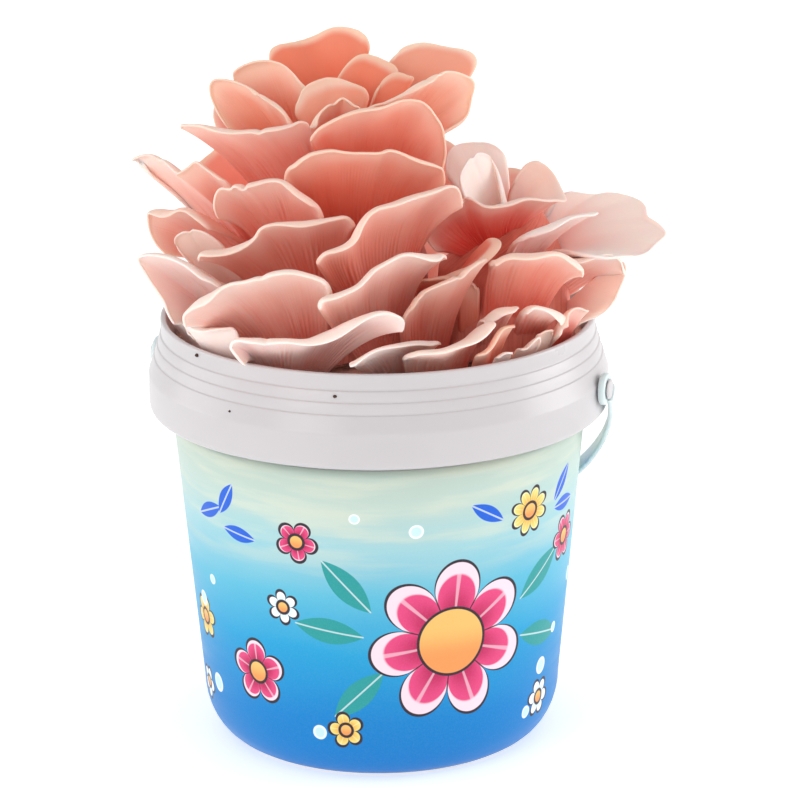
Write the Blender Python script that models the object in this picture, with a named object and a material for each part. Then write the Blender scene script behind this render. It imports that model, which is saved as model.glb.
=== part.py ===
"""Oyster mushroom grow kit: two clusters of pink oyster mushrooms growing out of a labelled bucket.

Lengths below are in millimetres and are turned into metres where a mesh is made.
The origin is the middle of the bucket's base, +Z is up and the kit's front faces -Y.
"""
import math

import bmesh
import bpy
import numpy as np
from mathutils import Matrix, Vector

MM = 0.001
GAP = 0.3

# bucket
BASE_RADIUS = 57.5
CORNER_WIDE = 16.7
CORNER_HIGH = 23.9
BODY_TOP_RADIUS = 85.4
BODY_TOP = 142.0
SKIRT_RADIUS = 95.0
SKIRT_BOTTOM = 142.1
SKIRT_TOP = 157.0
SHOULDER = [(94.2, 158.8), (92.6, 164.5), (91.2, 169.2), (89.8, 173.7)]
NECK_RADIUS = 89.8
RIM_TOP = 180.3
WALL = 1.9
FLOOR = 2.6
TURN_STEPS = 26
CORNER_STEPS = 3

# label wrapped around the bucket's body and the corner at its base
LABEL_TOP = 139.0
LABEL_THICK = 0.4

# block of substrate that fills the bucket
SOIL_TOP = 170.4

# bail handle and the studs it turns on
PIVOT_HEIGHT = 155.0
PIVOT_TURN = 18.0
BAIL_HALF_WIDTH = 99.0
BAIL_REACH = 125.0
BAIL_BULGE = 1.64
BAIL_HANG = 45.5
BAIL_WIDE = 8.0
BAIL_THICK = 2.2
BAIL_STEPS = 20
EYE_FROM_AXIS = 96.9
EYE_RADIUS = 6.6
EYE_THICK = 2.8
EYE_HOLE = 3.4
HEAD_HOLE = 4.7
STUD_PROFILE = [(0, 92.7), (3.0, 92.7), (3.0, 98.6), (4.2, 98.6), (4.2, 99.1), (3.6, 99.6), (0, 99.6)]

# stalks that the caps grow from: x, y, z, half width and half depth of each ring
STALKS = {
    "stalk_main": [(-21, -4, 170.8, 42, 45), (-21, -4, 184, 41, 40), (-17, -4, 205, 37, 29),
                   (-14, -3, 228, 27, 21), (-17, -3, 246, 19, 16), (-16, -3, 256, 14, 12)],
    "stalk_right": [(52, -10, 170.8, 29, 32), (51, -10, 184, 28, 28), (51, -7, 202, 26, 20),
                    (56, -5, 216, 16, 15), (57, -5, 224, 10, 10)],
}
STALK_SIDES = 12

# caps: name, root, bow, half width of the stem, thickness, and points along the lip.
# The lip runs so that lip direction x growth direction points to the gill side.
CAP_ROWS = 3
CAP_COLUMN = 12.0
ROOT_DEPTH = 5.0
CAPS = [
    # top of the main cluster
    ("cap_top_back", (-17, 7, 254), 3, 5, 2.8,
     [(-2, 24, 286), (-8, 31, 290.5), (-19, 36, 291.5), (-30, 34, 287), (-41, 30, 286), (-45, 24, 282)]),
    ("cap_top_right", (-1, 5, 249), 3, 5, 2.6,
     [(40, 12, 277), (41, 17, 283.5), (31, 24, 286), (21, 27, 287.5), (12, 25, 286), (6, 21, 281.5)]),
    ("cap_inner_back", (-13, 1, 254), 3, 5, 2.6,
     [(10, 9, 278), (6, 12, 281), (-5, 13, 285), (-12, 11, 281), (-16, 7, 276)]),
    ("cap_inner_right", (-5, -4, 253), 2, 2, 2.2,
     [(16, 2, 278), (8, 4, 279), (2, 2, 276), (0, -2, 273)]),
    ("cap_right_front_top", (2, -10, 247), 3, 6, 2.6,
     [(-6, -21, 273), (3, -22, 275), (11, -20, 278), (17, -18, 282), (26, -13, 284), (38, -5, 280),
      (39, -3, 272), (36, -5, 263), (29, -9, 259)]),
    ("cap_left_back_top", (-31, 1, 244), 3, 5, 2.6,
     [(-59, 10, 278), (-55, 9, 283.5), (-45, 5, 286.5), (-36, 2, 284), (-30, 0, 278), (-27, -2, 275)]),
    ("cap_left_front_top", (-32, -13, 240), 3, 5, 2.6,
     [(-62, -8, 263), (-67, -4, 273), (-66, -4, 280.5), (-59, -7, 281.5), (-47, -11, 278),
      (-40, -15, 274), (-35, -24, 267)]),
    ("cap_cup", (-18, -6, 253), 3, 5, 2.8,
     [(-2, -8, 273), (-8, -6, 277), (-17, -4, 279), (-23, -5, 278), (-29, -7, 275), (-31, -10, 271),
      (-33, -12, 267)]),
    ("cap_inner_front", (-18, -14, 246), 3, 5, 2.6,
     [(-28, -30, 266), (-25, -28, 271), (-20, -27, 274), (-15, -26, 277), (-12, -25, 277),
      (-6, -25, 273)]),
    # main cluster, fifth tier
    ("cap_five_left", (-32, -20, 226), 7, 9, 3.0,
     [(-79, -22, 265), (-71, -30, 267), (-62, -38, 269), (-46, -42, 269), (-34, -40, 270),
      (-27, -37, 271)]),
    ("cap_five_right", (-1, -20, 224), 7, 9, 3.0,
     [(-28, -46, 268), (-23, -46, 270), (-15, -44, 275), (-6, -43, 278), (3, -41, 278),
      (12, -37, 278), (20, -31, 276), (26, -27, 268), (28, -23, 256), (28, -22, 246)]),
    # main cluster, fourth tier
    ("cap_four_middle", (-8, -27, 204), 8, 11, 3.2,
     [(-38, -50, 252), (-35, -53, 258), (-28, -56, 263), (-19, -57, 265), (-10, -57, 262),
      (1, -55, 262), (5, -52, 263), (13, -48, 260), (23, -41, 254), (29, -35, 246)]),
    ("cap_four_left", (-35, -28, 205), 6, 8, 3.0,
     [(-65, -44, 235), (-64, -48, 243), (-58, -53, 249), (-49, -57, 252), (-39, -60, 253),
      (-34, -62, 252), (-26, -63, 246), (-21, -62, 238)]),
    # left side of the main cluster
    ("cap_left_tip", (-51, -4, 202), 2, 6, 2.6,
     [(-92, -12, 242), (-98, -10, 249), (-91, -14, 251), (-82, -19, 248), (-75, -23, 244)]),
    ("cap_left_notched", (-45, -17, 211), 3, 5, 2.4,
     [(-81, -30, 247), (-76, -31, 250), (-72, -32, 253), (-68, -35, 251), (-60, -38, 246)]),
    ("cap_left_middle", (-48, -16, 196), 5, 8, 2.8,
     [(-87, -25, 213), (-90, -24, 219), (-92, -24, 227), (-91.5, -26, 232.5), (-84, -30, 234),
      (-78, -35, 236),
      (-73, -39, 233), (-68, -43, 228)]),
    ("cap_left_ear", (-50, -18, 190), 2, 5, 2.4,
     [(-61, -46, 221), (-68, -46, 226), (-74, -42, 227), (-80, -38, 224), (-81, -36, 219),
      (-80, -36, 216)]),
    # main cluster, third tier
    ("cap_three_left", (-28, -34, 190), 8, 11, 3.2,
     [(-73, -66, 223), (-68, -69, 227), (-58, -70, 229), (-49, -73, 232), (-45, -75, 237),
      (-36, -76, 240), (-25, -75, 240), (-14, -73, 241), (-8, -71, 238)]),
    ("cap_three_right", (4, -34, 190), 8, 11, 3.2,
     [(-25, -91, 228), (-21, -91, 230), (-16, -90, 232), (-11, -88, 236), (-7, -84, 242),
      (0, -78, 246), (11, -70, 248), (21, -62, 249), (29, -54, 248), (33, -50, 244), (35, -50, 241)]),
    # low on the left
    ("cap_left_low", (-55, -23, 174), 5, 9, 3.0,
     [(-84, -48, 191.5), (-87, -46, 200), (-92, -45, 208), (-96, -46, 216.5), (-91, -50, 220.5),
      (-83, -57, 222), (-76, -63, 220), (-70, -68, 217), (-62, -72, 213)]),
    # main cluster, second tier
    ("cap_two_left", (-34, -43, 170), 7, 13, 3.4,
     [(-76, -72, 196), (-74, -76, 204), (-69, -82, 212), (-58, -88, 218), (-46, -93, 222),
      (-34, -96, 226), (-26, -95, 224), (-20, -96, 220), (-18, -95, 216)]),
    ("cap_two_right", (2, -40, 174), 7, 10, 3.2,
     [(-24, -103, 213), (-22, -103, 216), (-14, -100, 218), (-7, -96, 220), (0, -91, 225),
      (9, -84, 228), (20, -74, 227), (28, -67, 224)]),
    # main cluster, first tier and buds over the rim
    ("cap_one_left", (-34.5, -53, 166.5), 5, 9, 3.2,
     [(-55, -80, 185), (-57, -83, 188), (-58, -86, 192), (-49, -96, 198), (-34, -101, 199),
      (-22, -103, 201), (-13, -102, 204),
      (-4, -99, 208), (3, -96, 208), (9, -92, 205), (12, -88, 200)]),
    ("cap_one_right", (10, -49, 163), 3, 7, 2.6,
     [(-12, -89, 185), (-11, -92, 187), (-3, -91, 191), (5, -87, 192), (13, -83, 192),
      (25, -77, 191)]),
    ("bud_rim_left", (-71, -22, 163), 1, 8, 2.6,
     [(-84, -6, 178), (-82, -14, 182), (-79, -24, 184), (-76, -33, 184), (-74, -41, 182)]),
    ("bud_rim_front", (-58, -46, 163), 1, 8, 2.6,
     [(-73, -44, 182), (-75, -49, 187), (-70, -57, 188.5), (-63, -63, 188), (-57, -68, 187)]),
    # in the gap between the two clusters
    ("cap_gap_upper", (24, -15, 183), 3, 5, 2.6,
     [(16, -45, 206), (28, -52, 211), (40, -54, 217), (47, -50, 223), (45, -42, 223)]),
    ("cap_gap_lower", (20, -34, 168), 4, 8, 2.6,
     [(10, -70, 198), (13, -70, 204), (17, -71, 210), (28, -71, 215), (39, -69, 220),
      (44, -65, 221)]),
    ("stem_gap", (37, -27, 166), 1, 4, 3.0,
     [(32, -40, 202), (34, -40, 204), (39, -40, 204), (41, -40, 201)]),
    # top of the right cluster
    ("cap_back_pale", (48, 6, 213), 3, 5, 2.6,
     [(54, 20, 240), (48, 22, 244), (42, 22, 245), (35, 20, 245), (30, 15, 243), (29, 8, 235)]),
    ("cap_folded", (49, -4, 215), 2, 5, 2.4,
     [(51, -16, 230), (51, -8, 236), (48, 0, 243), (42, -3, 247), (37, -9, 246), (34, -18, 240),
      (36, -25, 234)]),
    ("cap_funnel", (54, -11, 209), 5, 7, 2.8,
     [(21, -21, 212), (22, -24, 221), (27, -27, 230), (33, -31, 235), (36, -34, 237), (41, -38, 235),
      (45, -40, 235), (52, -40, 237), (59, -36, 238),
      (67, -30, 236), (74, -18, 233), (74, -2, 236), (71, 8, 240), (63, 12, 243.5), (55, 10, 242)]),
    # right cluster, middle
    ("cap_right_wing", (57, -23, 202), 4, 5, 2.8,
     [(58, -50, 225), (63, -50, 229), (71, -48, 231), (81, -42, 232), (89, -38, 233)]),
    ("cap_far_right", (72, -2, 203), 4, 7, 3.0,
     [(78, -44, 218), (85, -45, 216), (95, -40, 214), (103, -34, 212), (110, -26, 211),
      (115, -20, 213), (118, -14, 216), (115, -8, 218), (110, -2, 219), (108, 4, 222),
      (104, 9, 224), (96, 12, 225), (87, 12, 225), (77, 8, 226)]),
    ("cap_right_middle", (54, -34, 186), 7, 11, 3.2,
     [(45, -62, 219), (48, -70, 223), (54, -76, 226), (62, -79, 227), (69, -76, 226),
      (75, -70, 223), (80, -64, 219), (83, -60, 213)]),
    # right cluster, low and buds at the rim
    ("cap_right_low", (61, -35, 180), 3, 6, 2.8,
     [(59, -76, 201), (61, -77, 204), (65, -75, 203), (73, -68, 199), (75, -64, 196)]),
    ("cap_right_low_lobe", (44, -37, 176), 3, 5, 2.6,
     [(41, -64, 195), (44, -67, 199), (47, -70, 202), (53, -73, 203), (56, -73, 203)]),
    ("cap_front_bottom", (24, -56, 163), 5, 10, 3.4,
     [(10, -84, 186), (16, -92, 190), (26, -95, 193), (35, -93, 196), (41, -88, 199),
      (44, -82, 200), (47, -77, 198)]),
    ("cap_front_diagonal", (43, -50, 163), 2, 5, 2.8,
     [(38, -76, 184), (44, -74, 187), (48, -72, 193), (51, -66, 194), (54, -61, 192)]),
    ("bud_front_right", (46, -60, 163), 1, 4, 2.6,
     [(46, -70, 181), (49, -69, 183), (53, -66, 182)]),
    ("bud_right_a", (54, -50, 163), 1, 5, 2.8,
     [(55, -62, 182), (61, -60, 185), (64, -57, 185), (65, -56, 182)]),
    ("bud_right_b", (63.5, -42.5, 163), 1, 3.5, 2.2,
     [(63, -54, 185), (66, -51, 187), (69, -47, 186), (70, -46, 183)]),
    ("cap_right_rim", (70, -29, 164), 2, 5, 2.4,
     [(73, -47, 184), (73, -50, 188), (75, -48, 193), (80, -44, 194), (85, -38, 191)]),
    ("cap_right_side", (72, -17, 173), 3, 6, 2.6,
     [(88, -31, 186), (93, -32, 190), (97, -29, 195), (99, -24, 200), (98, -20, 203), (96, -18, 204)]),
    ("cap_right_far_low", (64, -7, 184), 4, 9, 2.6,
     [(68, -34, 207), (75, -39, 210), (83, -41, 210.5), (90, -38, 210), (97, -31, 208)]),
    # far side, which the picture doesn't show
    ("cap_back_low_left", (-38, 32, 168), 6, 11, 3.2,
     [(-12, 60, 186), (-20, 72, 197), (-33, 76, 204), (-48, 70, 205), (-61, 58, 201), (-71, 43, 191)]),
    ("cap_back_low_middle", (0, 34, 168), 6, 11, 3.2,
     [(36, 58, 186), (34, 68, 197), (23, 78, 204), (8, 83, 208), (-6, 79, 203), (-12, 72, 194)]),
    ("cap_back_mid_left", (-46, 16, 194), 6, 9, 3.0,
     [(-34, 50, 222), (-42, 58, 232), (-56, 53, 239), (-69, 37, 238), (-76, 22, 231), (-77, 9, 222)]),
    ("cap_back_mid_middle", (-14, 26, 196), 6, 9, 3.0,
     [(22, 50, 220), (14, 62, 231), (0, 70, 239), (-14, 71, 240), (-27, 63, 232), (-32, 54, 224)]),
    ("cap_back_mid_right", (8, 16, 204), 5, 8, 2.8,
     [(34, 20, 226), (36, 32, 235), (30, 46, 240), (18, 53, 238)]),
    ("cap_back_high_left", (-34, 10, 230), 5, 8, 2.8,
     [(-28, 44, 260), (-40, 42, 269), (-54, 30, 271), (-64, 15, 266), (-66, 4, 258)]),
    ("cap_back_high_right", (-6, 14, 228), 5, 8, 2.8,
     [(28, 26, 262), (22, 38, 270), (8, 45, 272), (-6, 48, 268), (-16, 46, 260)]),
    ("cap_right_back_low", (66, 14, 170), 5, 9, 3.0,
     [(80, 6, 194), (81, 19, 202), (75, 33, 206), (66, 44, 204), (57, 48, 196)]),
    ("cap_right_back_mid", (56, 8, 192), 4, 7, 2.6,
     [(73, 28, 220), (63, 38, 228), (51, 41, 229), (41, 36, 222)]),
]


def material(name, colour, roughness):
    """A Principled material with one colour and roughness."""
    made = bpy.data.materials.new(name)
    made.use_nodes = True
    shader = made.node_tree.nodes["Principled BSDF"]
    shader.inputs["Base Color"].default_value = (*colour, 1.0)
    shader.inputs["Roughness"].default_value = roughness
    return made


def add_object(name, mesh, slot, location=(0, 0, 0)):
    """Puts a mesh in the scene at a place given in millimetres."""
    made = bpy.data.objects.new(name, mesh)
    made.location = Vector(location) * MM
    bpy.context.collection.objects.link(made)
    if slot:
        mesh.materials.append(slot)
    return made


def mesh_from(name, points, faces):
    """A mesh of flat triangles from points in millimetres, with its faces turned outwards."""
    mesh = bpy.data.meshes.new(name)
    mesh.from_pydata([Vector(p) * MM for p in points], [], faces)
    build = bmesh.new()
    build.from_mesh(mesh)
    bmesh.ops.triangulate(build, faces=build.faces, quad_method="FIXED")
    bmesh.ops.recalc_face_normals(build, faces=build.faces)
    if build.calc_volume(signed=True) < 0:
        bmesh.ops.reverse_faces(build, faces=build.faces)
    for face in build.faces:
        face.smooth = True
    build.to_mesh(mesh)
    build.free()
    return mesh


def turned(name, outline, steps):
    """Turns an outline of (radius, height) once around Z into a closed mesh."""
    build = bmesh.new()
    ring = [build.verts.new(Vector((r, 0, z)) * MM) for r, z in outline]
    lines = [build.edges.new(pair) for pair in zip(ring, ring[1:] + ring[:1])]
    bmesh.ops.spin(build, geom=ring + lines, axis=(0, 0, 1), cent=(0, 0, 0), steps=steps,
                   angle=2 * math.pi, use_merge=True)
    bmesh.ops.remove_doubles(build, verts=build.verts, dist=0.00002)
    bmesh.ops.dissolve_degenerate(build, edges=build.edges, dist=0.00002)
    bmesh.ops.recalc_face_normals(build, faces=build.faces)
    for face in build.faces:
        face.smooth = True
    mesh = bpy.data.meshes.new(name)
    build.to_mesh(mesh)
    build.free()
    return mesh


def combine(target, other, operation):
    """Joins another object to the target or cuts it away, and keeps the result as the target's mesh."""
    bpy.context.view_layer.update()
    step = target.modifiers.new("combine", "BOOLEAN")
    step.operation = operation
    step.solver = "EXACT"
    step.object = other
    graph = bpy.context.evaluated_depsgraph_get()
    mesh = bpy.data.meshes.new_from_object(target.evaluated_get(graph))
    target.modifiers.clear()
    target.data = mesh
    return target


def discard(*helpers):
    """Removes objects that only served to cut or join."""
    for helper in helpers:
        bpy.data.objects.remove(helper)


def body_radius(height):
    """Outer radius of the bucket's tapered wall."""
    start = BASE_RADIUS + CORNER_WIDE
    share = (height - CORNER_HIGH) / (BODY_TOP - CORNER_HIGH)
    return start + (BODY_TOP_RADIUS - start) * share


def corner(inset, steps):
    """Points of the rounded corner at the bucket's base, moved inwards by an inset."""
    wide = CORNER_WIDE
    high = CORNER_HIGH - inset
    angles = [math.pi / 2 * k / steps for k in range(1, steps + 1)]
    return [(BASE_RADIUS - inset + wide * math.sin(a), CORNER_HIGH - high * math.cos(a)) for a in angles]


def pivot_axis():
    """Direction of the line through both studs, from the left one to the right one."""
    turn = math.radians(PIVOT_TURN)
    return Vector((math.cos(turn), -math.sin(turn), 0))


def bail_plane():
    """Direction in which the bail hangs down at the back of the bucket."""
    turn = math.radians(PIVOT_TURN)
    hang = math.radians(BAIL_HANG)
    back = Vector((math.sin(turn), math.cos(turn), 0))
    return back * math.cos(hang) - Vector((0, 0, 1)) * math.sin(hang)


def along_pivot(side):
    """Turns +Z onto the pivot line, to the right for +1 and to the left for -1."""
    return (pivot_axis() * side).to_track_quat("Z", "Y").to_matrix().to_4x4()


def make_bucket(plastic):
    outer = [(0, 0), (BASE_RADIUS, 0)] + corner(0, CORNER_STEPS)
    outer += [(BODY_TOP_RADIUS, BODY_TOP), (86.2, 152.6), (92.2, 152.6), (92.6, SKIRT_BOTTOM + 0.2),
              (93.8, SKIRT_BOTTOM), (SKIRT_RADIUS, SKIRT_BOTTOM + 2.5), (SKIRT_RADIUS, SKIRT_TOP)]
    outer += SHOULDER
    outer += [(NECK_RADIUS, RIM_TOP - 0.7), (NECK_RADIUS - 0.6, RIM_TOP), (NECK_RADIUS - 1.8, RIM_TOP),
              (NECK_RADIUS - 2.4, RIM_TOP - 0.5)]
    inner = [(BODY_TOP_RADIUS - WALL, BODY_TOP)] + corner(WALL, 2)[::-1]
    inner += [(BASE_RADIUS - 2, FLOOR), (0, FLOOR)]
    bucket = add_object("bucket", turned("bucket", outer + inner, TURN_STEPS), plastic)
    for side in (-1, 1):
        stud = add_object("stud", turned("stud", STUD_PROFILE, 10), plastic)
        stud.matrix_world = Matrix.Translation((0, 0, PIVOT_HEIGHT * MM)) @ along_pivot(side)
        combine(bucket, stud, "UNION")
        discard(stud)
    return bucket


def make_label(paper):
    outline = corner(-GAP - LABEL_THICK, CORNER_STEPS)
    outline += [(body_radius(LABEL_TOP) + GAP + LABEL_THICK, LABEL_TOP)]
    outline += [(body_radius(LABEL_TOP) + GAP, LABEL_TOP)]
    outline += corner(-GAP, CORNER_STEPS)[::-1]
    return add_object("label_wrap", turned("label_wrap", outline, TURN_STEPS), paper)


def make_soil(substrate):
    inset = WALL + 2 * GAP
    outline = [(0, FLOOR + GAP), (BASE_RADIUS - 3, FLOOR + GAP)] + corner(inset, 2)
    outline += [(85.6, SOIL_TOP - 2), (83.0, SOIL_TOP), (0, SOIL_TOP)]
    return add_object("substrate_block", turned("substrate_block", outline, TURN_STEPS), substrate)


def make_bail(plastic):
    """The strip of the bail with an eye at each end, as it hangs at the back."""
    across = pivot_axis()
    down = bail_plane()
    flat = across.cross(down)
    power = 2 / BAIL_BULGE
    middle = []
    for k in range(BAIL_STEPS + 1):
        angle = math.pi * k / BAIL_STEPS
        wide = math.copysign(abs(math.cos(angle)) ** power, math.cos(angle))
        reach = max(math.sin(angle), 0) ** power
        middle.append(across * BAIL_HALF_WIDTH * wide + down * BAIL_REACH * reach)
    points = []
    for k, here in enumerate(middle):
        along = (middle[min(k + 1, BAIL_STEPS)] - middle[max(k - 1, 0)]).normalized()
        if k in (0, BAIL_STEPS):
            along = down * (1 if k == 0 else -1)
        outwards = flat.cross(along).normalized() * -1
        for out, side in ((1, 1), (1, -1), (-1, -1), (-1, 1)):
            points.append(here + outwards * out * BAIL_THICK / 2 + flat * side * BAIL_WIDE / 2)
    faces = [(0, 1, 2, 3), tuple(4 * BAIL_STEPS + k for k in (3, 2, 1, 0))]
    for k in range(BAIL_STEPS):
        for j in range(4):
            a = 4 * k + j
            b = 4 * k + (j + 1) % 4
            faces.append((a, a + 4, b + 4, b))
    bail = add_object("bail_handle", mesh_from("bail_handle", points, faces), plastic)
    near = EYE_FROM_AXIS - EYE_THICK / 2
    far = EYE_FROM_AXIS + EYE_THICK / 2
    eye_outline = [(0, near), (EYE_RADIUS, near), (EYE_RADIUS, far), (0, far)]
    hole_outline = [(0, near - 4), (EYE_HOLE, near - 4), (EYE_HOLE, far),
                    (HEAD_HOLE, far), (HEAD_HOLE, far + 4),
                    (0, far + 4)]
    for side in (-1, 1):
        eye = add_object("eye", turned("eye", eye_outline, 12), None)
        hole = add_object("hole", turned("hole", hole_outline, 10), None)
        for helper in (eye, hole):
            helper.matrix_world = along_pivot(side)
        combine(bail, eye, "UNION")
        combine(bail, hole, "DIFFERENCE")
        discard(eye, hole)
    bail.location = Vector((0, 0, PIVOT_HEIGHT)) * MM
    return bail


def make_stalk(name, flesh, grow=0.0, sink=0.0):
    """A tapering stalk of stacked rings, swollen by grow and reaching lower by sink."""
    rings = STALKS[name]
    points = []
    if sink:
        x, y, z, wide, deep = rings[0]
        rings = [(x, y, z - sink, wide, deep)] + rings
    for k, (x, y, z, wide, deep) in enumerate(rings):
        height = z + grow * (k == len(rings) - 1)
        for j in range(STALK_SIDES):
            angle = 2 * math.pi * j / STALK_SIDES
            points.append((x + (wide + grow) * math.cos(angle), y + (deep + grow) * math.sin(angle), height))
    faces = [tuple(range(STALK_SIDES)), tuple(range(len(points) - STALK_SIDES, len(points)))]
    for k in range(len(rings) - 1):
        for j in range(STALK_SIDES):
            a = k * STALK_SIDES + j
            b = k * STALK_SIDES + (j + 1) % STALK_SIDES
            faces.append((a, b, b + STALK_SIDES, a + STALK_SIDES))
    return add_object(name, mesh_from(name, points, faces), flesh)


def smooth_curve(points, count):
    """Evenly spaced points on a smooth curve through the given ones, and the curve's length."""
    pts = np.array(points, float)
    pts = np.vstack([2 * pts[0] - pts[1], pts, 2 * pts[-1] - pts[-2]])
    dense = [pts[1]]
    for p0, p1, p2, p3 in zip(pts, pts[1:], pts[2:], pts[3:]):
        for t in np.linspace(0, 1, 13)[1:]:
            dense.append(0.5 * (2 * p1 + (p2 - p0) * t + (2 * p0 - 5 * p1 + 4 * p2 - p3) * t ** 2
                                + (3 * p1 - p0 - 3 * p2 + p3) * t ** 3))
    dense = np.array(dense)
    run = np.r_[0, np.cumsum(np.linalg.norm(np.diff(dense, axis=0), axis=1))]
    where = np.linspace(0, run[-1], count)
    return np.stack([np.interp(where, run, dense[:, k]) for k in range(3)], 1), run[-1]


def unit(vectors):
    return vectors / np.linalg.norm(vectors, axis=-1, keepdims=True)


def cap_surface(root, bow, half_stem, thick, lip):
    """Grids of points on the gill side and the upper side, and a row along the lip's edge."""
    root = np.array(root, float)
    columns = int(np.clip(round(smooth_curve(lip, 2)[1] / CAP_COLUMN), 3, 7))
    lip = smooth_curve(lip, columns + 1)[0]
    growth = unit(lip.mean(axis=0) - root)
    across = unit(lip[-1] - lip[0])
    across = unit(across - growth * (across @ growth))
    gill_side = np.cross(across, growth)
    stem = root + np.outer(np.linspace(-1, 1, columns + 1), across) * half_stem - growth * ROOT_DEPTH
    rise = np.linspace(0, 1, CAP_ROWS + 1)[:, None, None]
    bend = (stem + lip) / 2 - gill_side * bow * 2
    grid = (1 - rise) ** 2 * stem + 2 * rise * (1 - rise) * bend + rise ** 2 * lip
    outwards = np.gradient(grid, axis=0)
    normal = unit(np.cross(np.gradient(grid, axis=1), outwards))
    half = thick * (1.7 - 0.7 * rise) / 2
    edge = lip + unit(outwards[-1]) * thick * 0.45
    return grid + normal * half, grid - normal * half, edge


def make_cap(name, root, bow, half_stem, thick, lip, flesh):
    """One cap: a bowed fan that widens from its stem to a rounded lip."""
    gills, upper, edge = cap_surface(root, bow, half_stem, thick, lip)
    rows = gills.shape[0] - 1
    columns = gills.shape[1] - 1
    count = (rows + 1) * (columns + 1)
    points = np.vstack([gills.reshape(-1, 3), upper.reshape(-1, 3), edge]) - np.array(root, float)

    def low(i, j):
        return i * (columns + 1) + j

    def high(i, j):
        return count + low(i, j)

    faces = []
    for i in range(rows):
        for j in range(columns):
            faces.append((low(i, j), low(i, j + 1), low(i + 1, j + 1), low(i + 1, j)))
            faces.append((high(i, j + 1), high(i, j), high(i + 1, j), high(i + 1, j + 1)))
        faces.append((low(i, 0), low(i + 1, 0), high(i + 1, 0), high(i, 0)))
        faces.append((low(i + 1, columns), low(i, columns), high(i, columns), high(i + 1, columns)))
    for j in range(columns):
        tip = 2 * count + j
        faces.append((low(rows, j), low(rows, j + 1), tip + 1, tip))
        faces.append((high(rows, j + 1), high(rows, j), tip, tip + 1))
        faces.append((low(0, j + 1), low(0, j), high(0, j), high(0, j + 1)))
    faces.append((low(rows, 0), 2 * count, high(rows, 0)))
    faces.append((low(rows, columns), high(rows, columns), 2 * count + columns))
    return add_object(name, mesh_from(name, points.tolist(), faces), flesh, root)


def main():
    for old in list(bpy.data.objects):
        bpy.data.objects.remove(old)

    white = material("white_plastic", (0.80, 0.76, 0.78), 0.25)
    clear = material("frosted_plastic", (0.62, 0.70, 0.70), 0.30)
    paper = material("label_film", (0.25, 0.60, 0.75), 0.35)
    substrate = material("grow_substrate", (0.10, 0.05, 0.03), 0.95)
    flesh = material("mushroom_flesh", (0.85, 0.42, 0.32), 0.60)

    make_bucket(white)
    make_label(paper)
    make_soil(substrate)
    make_bail(clear)
    for name in STALKS:
        make_stalk(name, flesh)

    cutters = [make_stalk(name, None, grow=GAP, sink=8) for name in STALKS]
    bpy.ops.mesh.primitive_cube_add(size=1, location=(0, 0, (SOIL_TOP - 49.6) * MM), scale=(0.4, 0.4, 0.1))
    cutters.append(bpy.context.object)
    for name, root, bow, half_stem, thick, lip in CAPS:
        cap = make_cap(name, root, bow, half_stem, thick, lip, flesh)
        for cutter in cutters:
            combine(cap, cutter, "DIFFERENCE")
    discard(*cutters)


main()
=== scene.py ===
"""Looks of the oyster mushroom grow kit: gilled caps, stalks, substrate, pail, label and bail.

Lengths are in millimetres and are turned into metres where a mesh is made. Those of the camera, the
lights and the shaders are in metres, apart from the label's drawing and the caps' own values.
"""

import math

import bpy
import numpy as np
from mathutils import Matrix, Vector


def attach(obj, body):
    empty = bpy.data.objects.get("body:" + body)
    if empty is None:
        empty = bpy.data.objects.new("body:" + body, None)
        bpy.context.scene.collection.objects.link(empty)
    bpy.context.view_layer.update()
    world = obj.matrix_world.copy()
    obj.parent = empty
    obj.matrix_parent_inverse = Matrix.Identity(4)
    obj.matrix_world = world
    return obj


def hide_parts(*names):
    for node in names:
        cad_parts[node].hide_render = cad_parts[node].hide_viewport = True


MM = 0.001

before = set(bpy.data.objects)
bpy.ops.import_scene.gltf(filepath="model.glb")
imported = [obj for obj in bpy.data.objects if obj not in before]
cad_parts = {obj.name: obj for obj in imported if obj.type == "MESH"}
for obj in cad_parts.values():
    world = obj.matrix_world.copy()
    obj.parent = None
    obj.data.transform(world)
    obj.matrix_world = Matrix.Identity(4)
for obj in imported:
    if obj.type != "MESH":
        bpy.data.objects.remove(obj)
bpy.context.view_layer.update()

# the photograph's camera
CAMERA_PLACE = (0.0, -1.750, 0.690)
CAMERA_PITCH = 0.3036
CAMERA_YAW = 0.0050
CAMERA_ROLL = -0.0091
CAMERA_LENS = 198.8
SENSOR_WIDTH = 36.0
CLIP_NEAR = 0.05
CLIP_FAR = 30.0

# lights: name, place, size, power and colour, all aimed at one point
LIGHT_AIM = (0, 0, 0.16)
LIGHTS = (("key", (-1.1, -1.5, 0.8), 1.0, 7.0, (1.0, 0.99, 0.97)),
          ("front", (0.2, -2.1, 0.25), 1.4, 6.0, (1.0, 1.0, 1.0)),
          ("left", (-1.9, 0.3, 0.5), 1.2, 8.0, (1.0, 1.0, 1.0)),
          ("right", (1.9, 0.2, 0.5), 1.2, 17.0, (1.0, 1.0, 1.0)))
SKY_LOW = 0.95
SKY_HIGH = 0.64
FLOOR = [(-9000, -5000, 0), (9000, -5000, 0), (9000, 12000, 0), (-9000, 12000, 0)]
FLOOR_GLOW = 0.46

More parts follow.
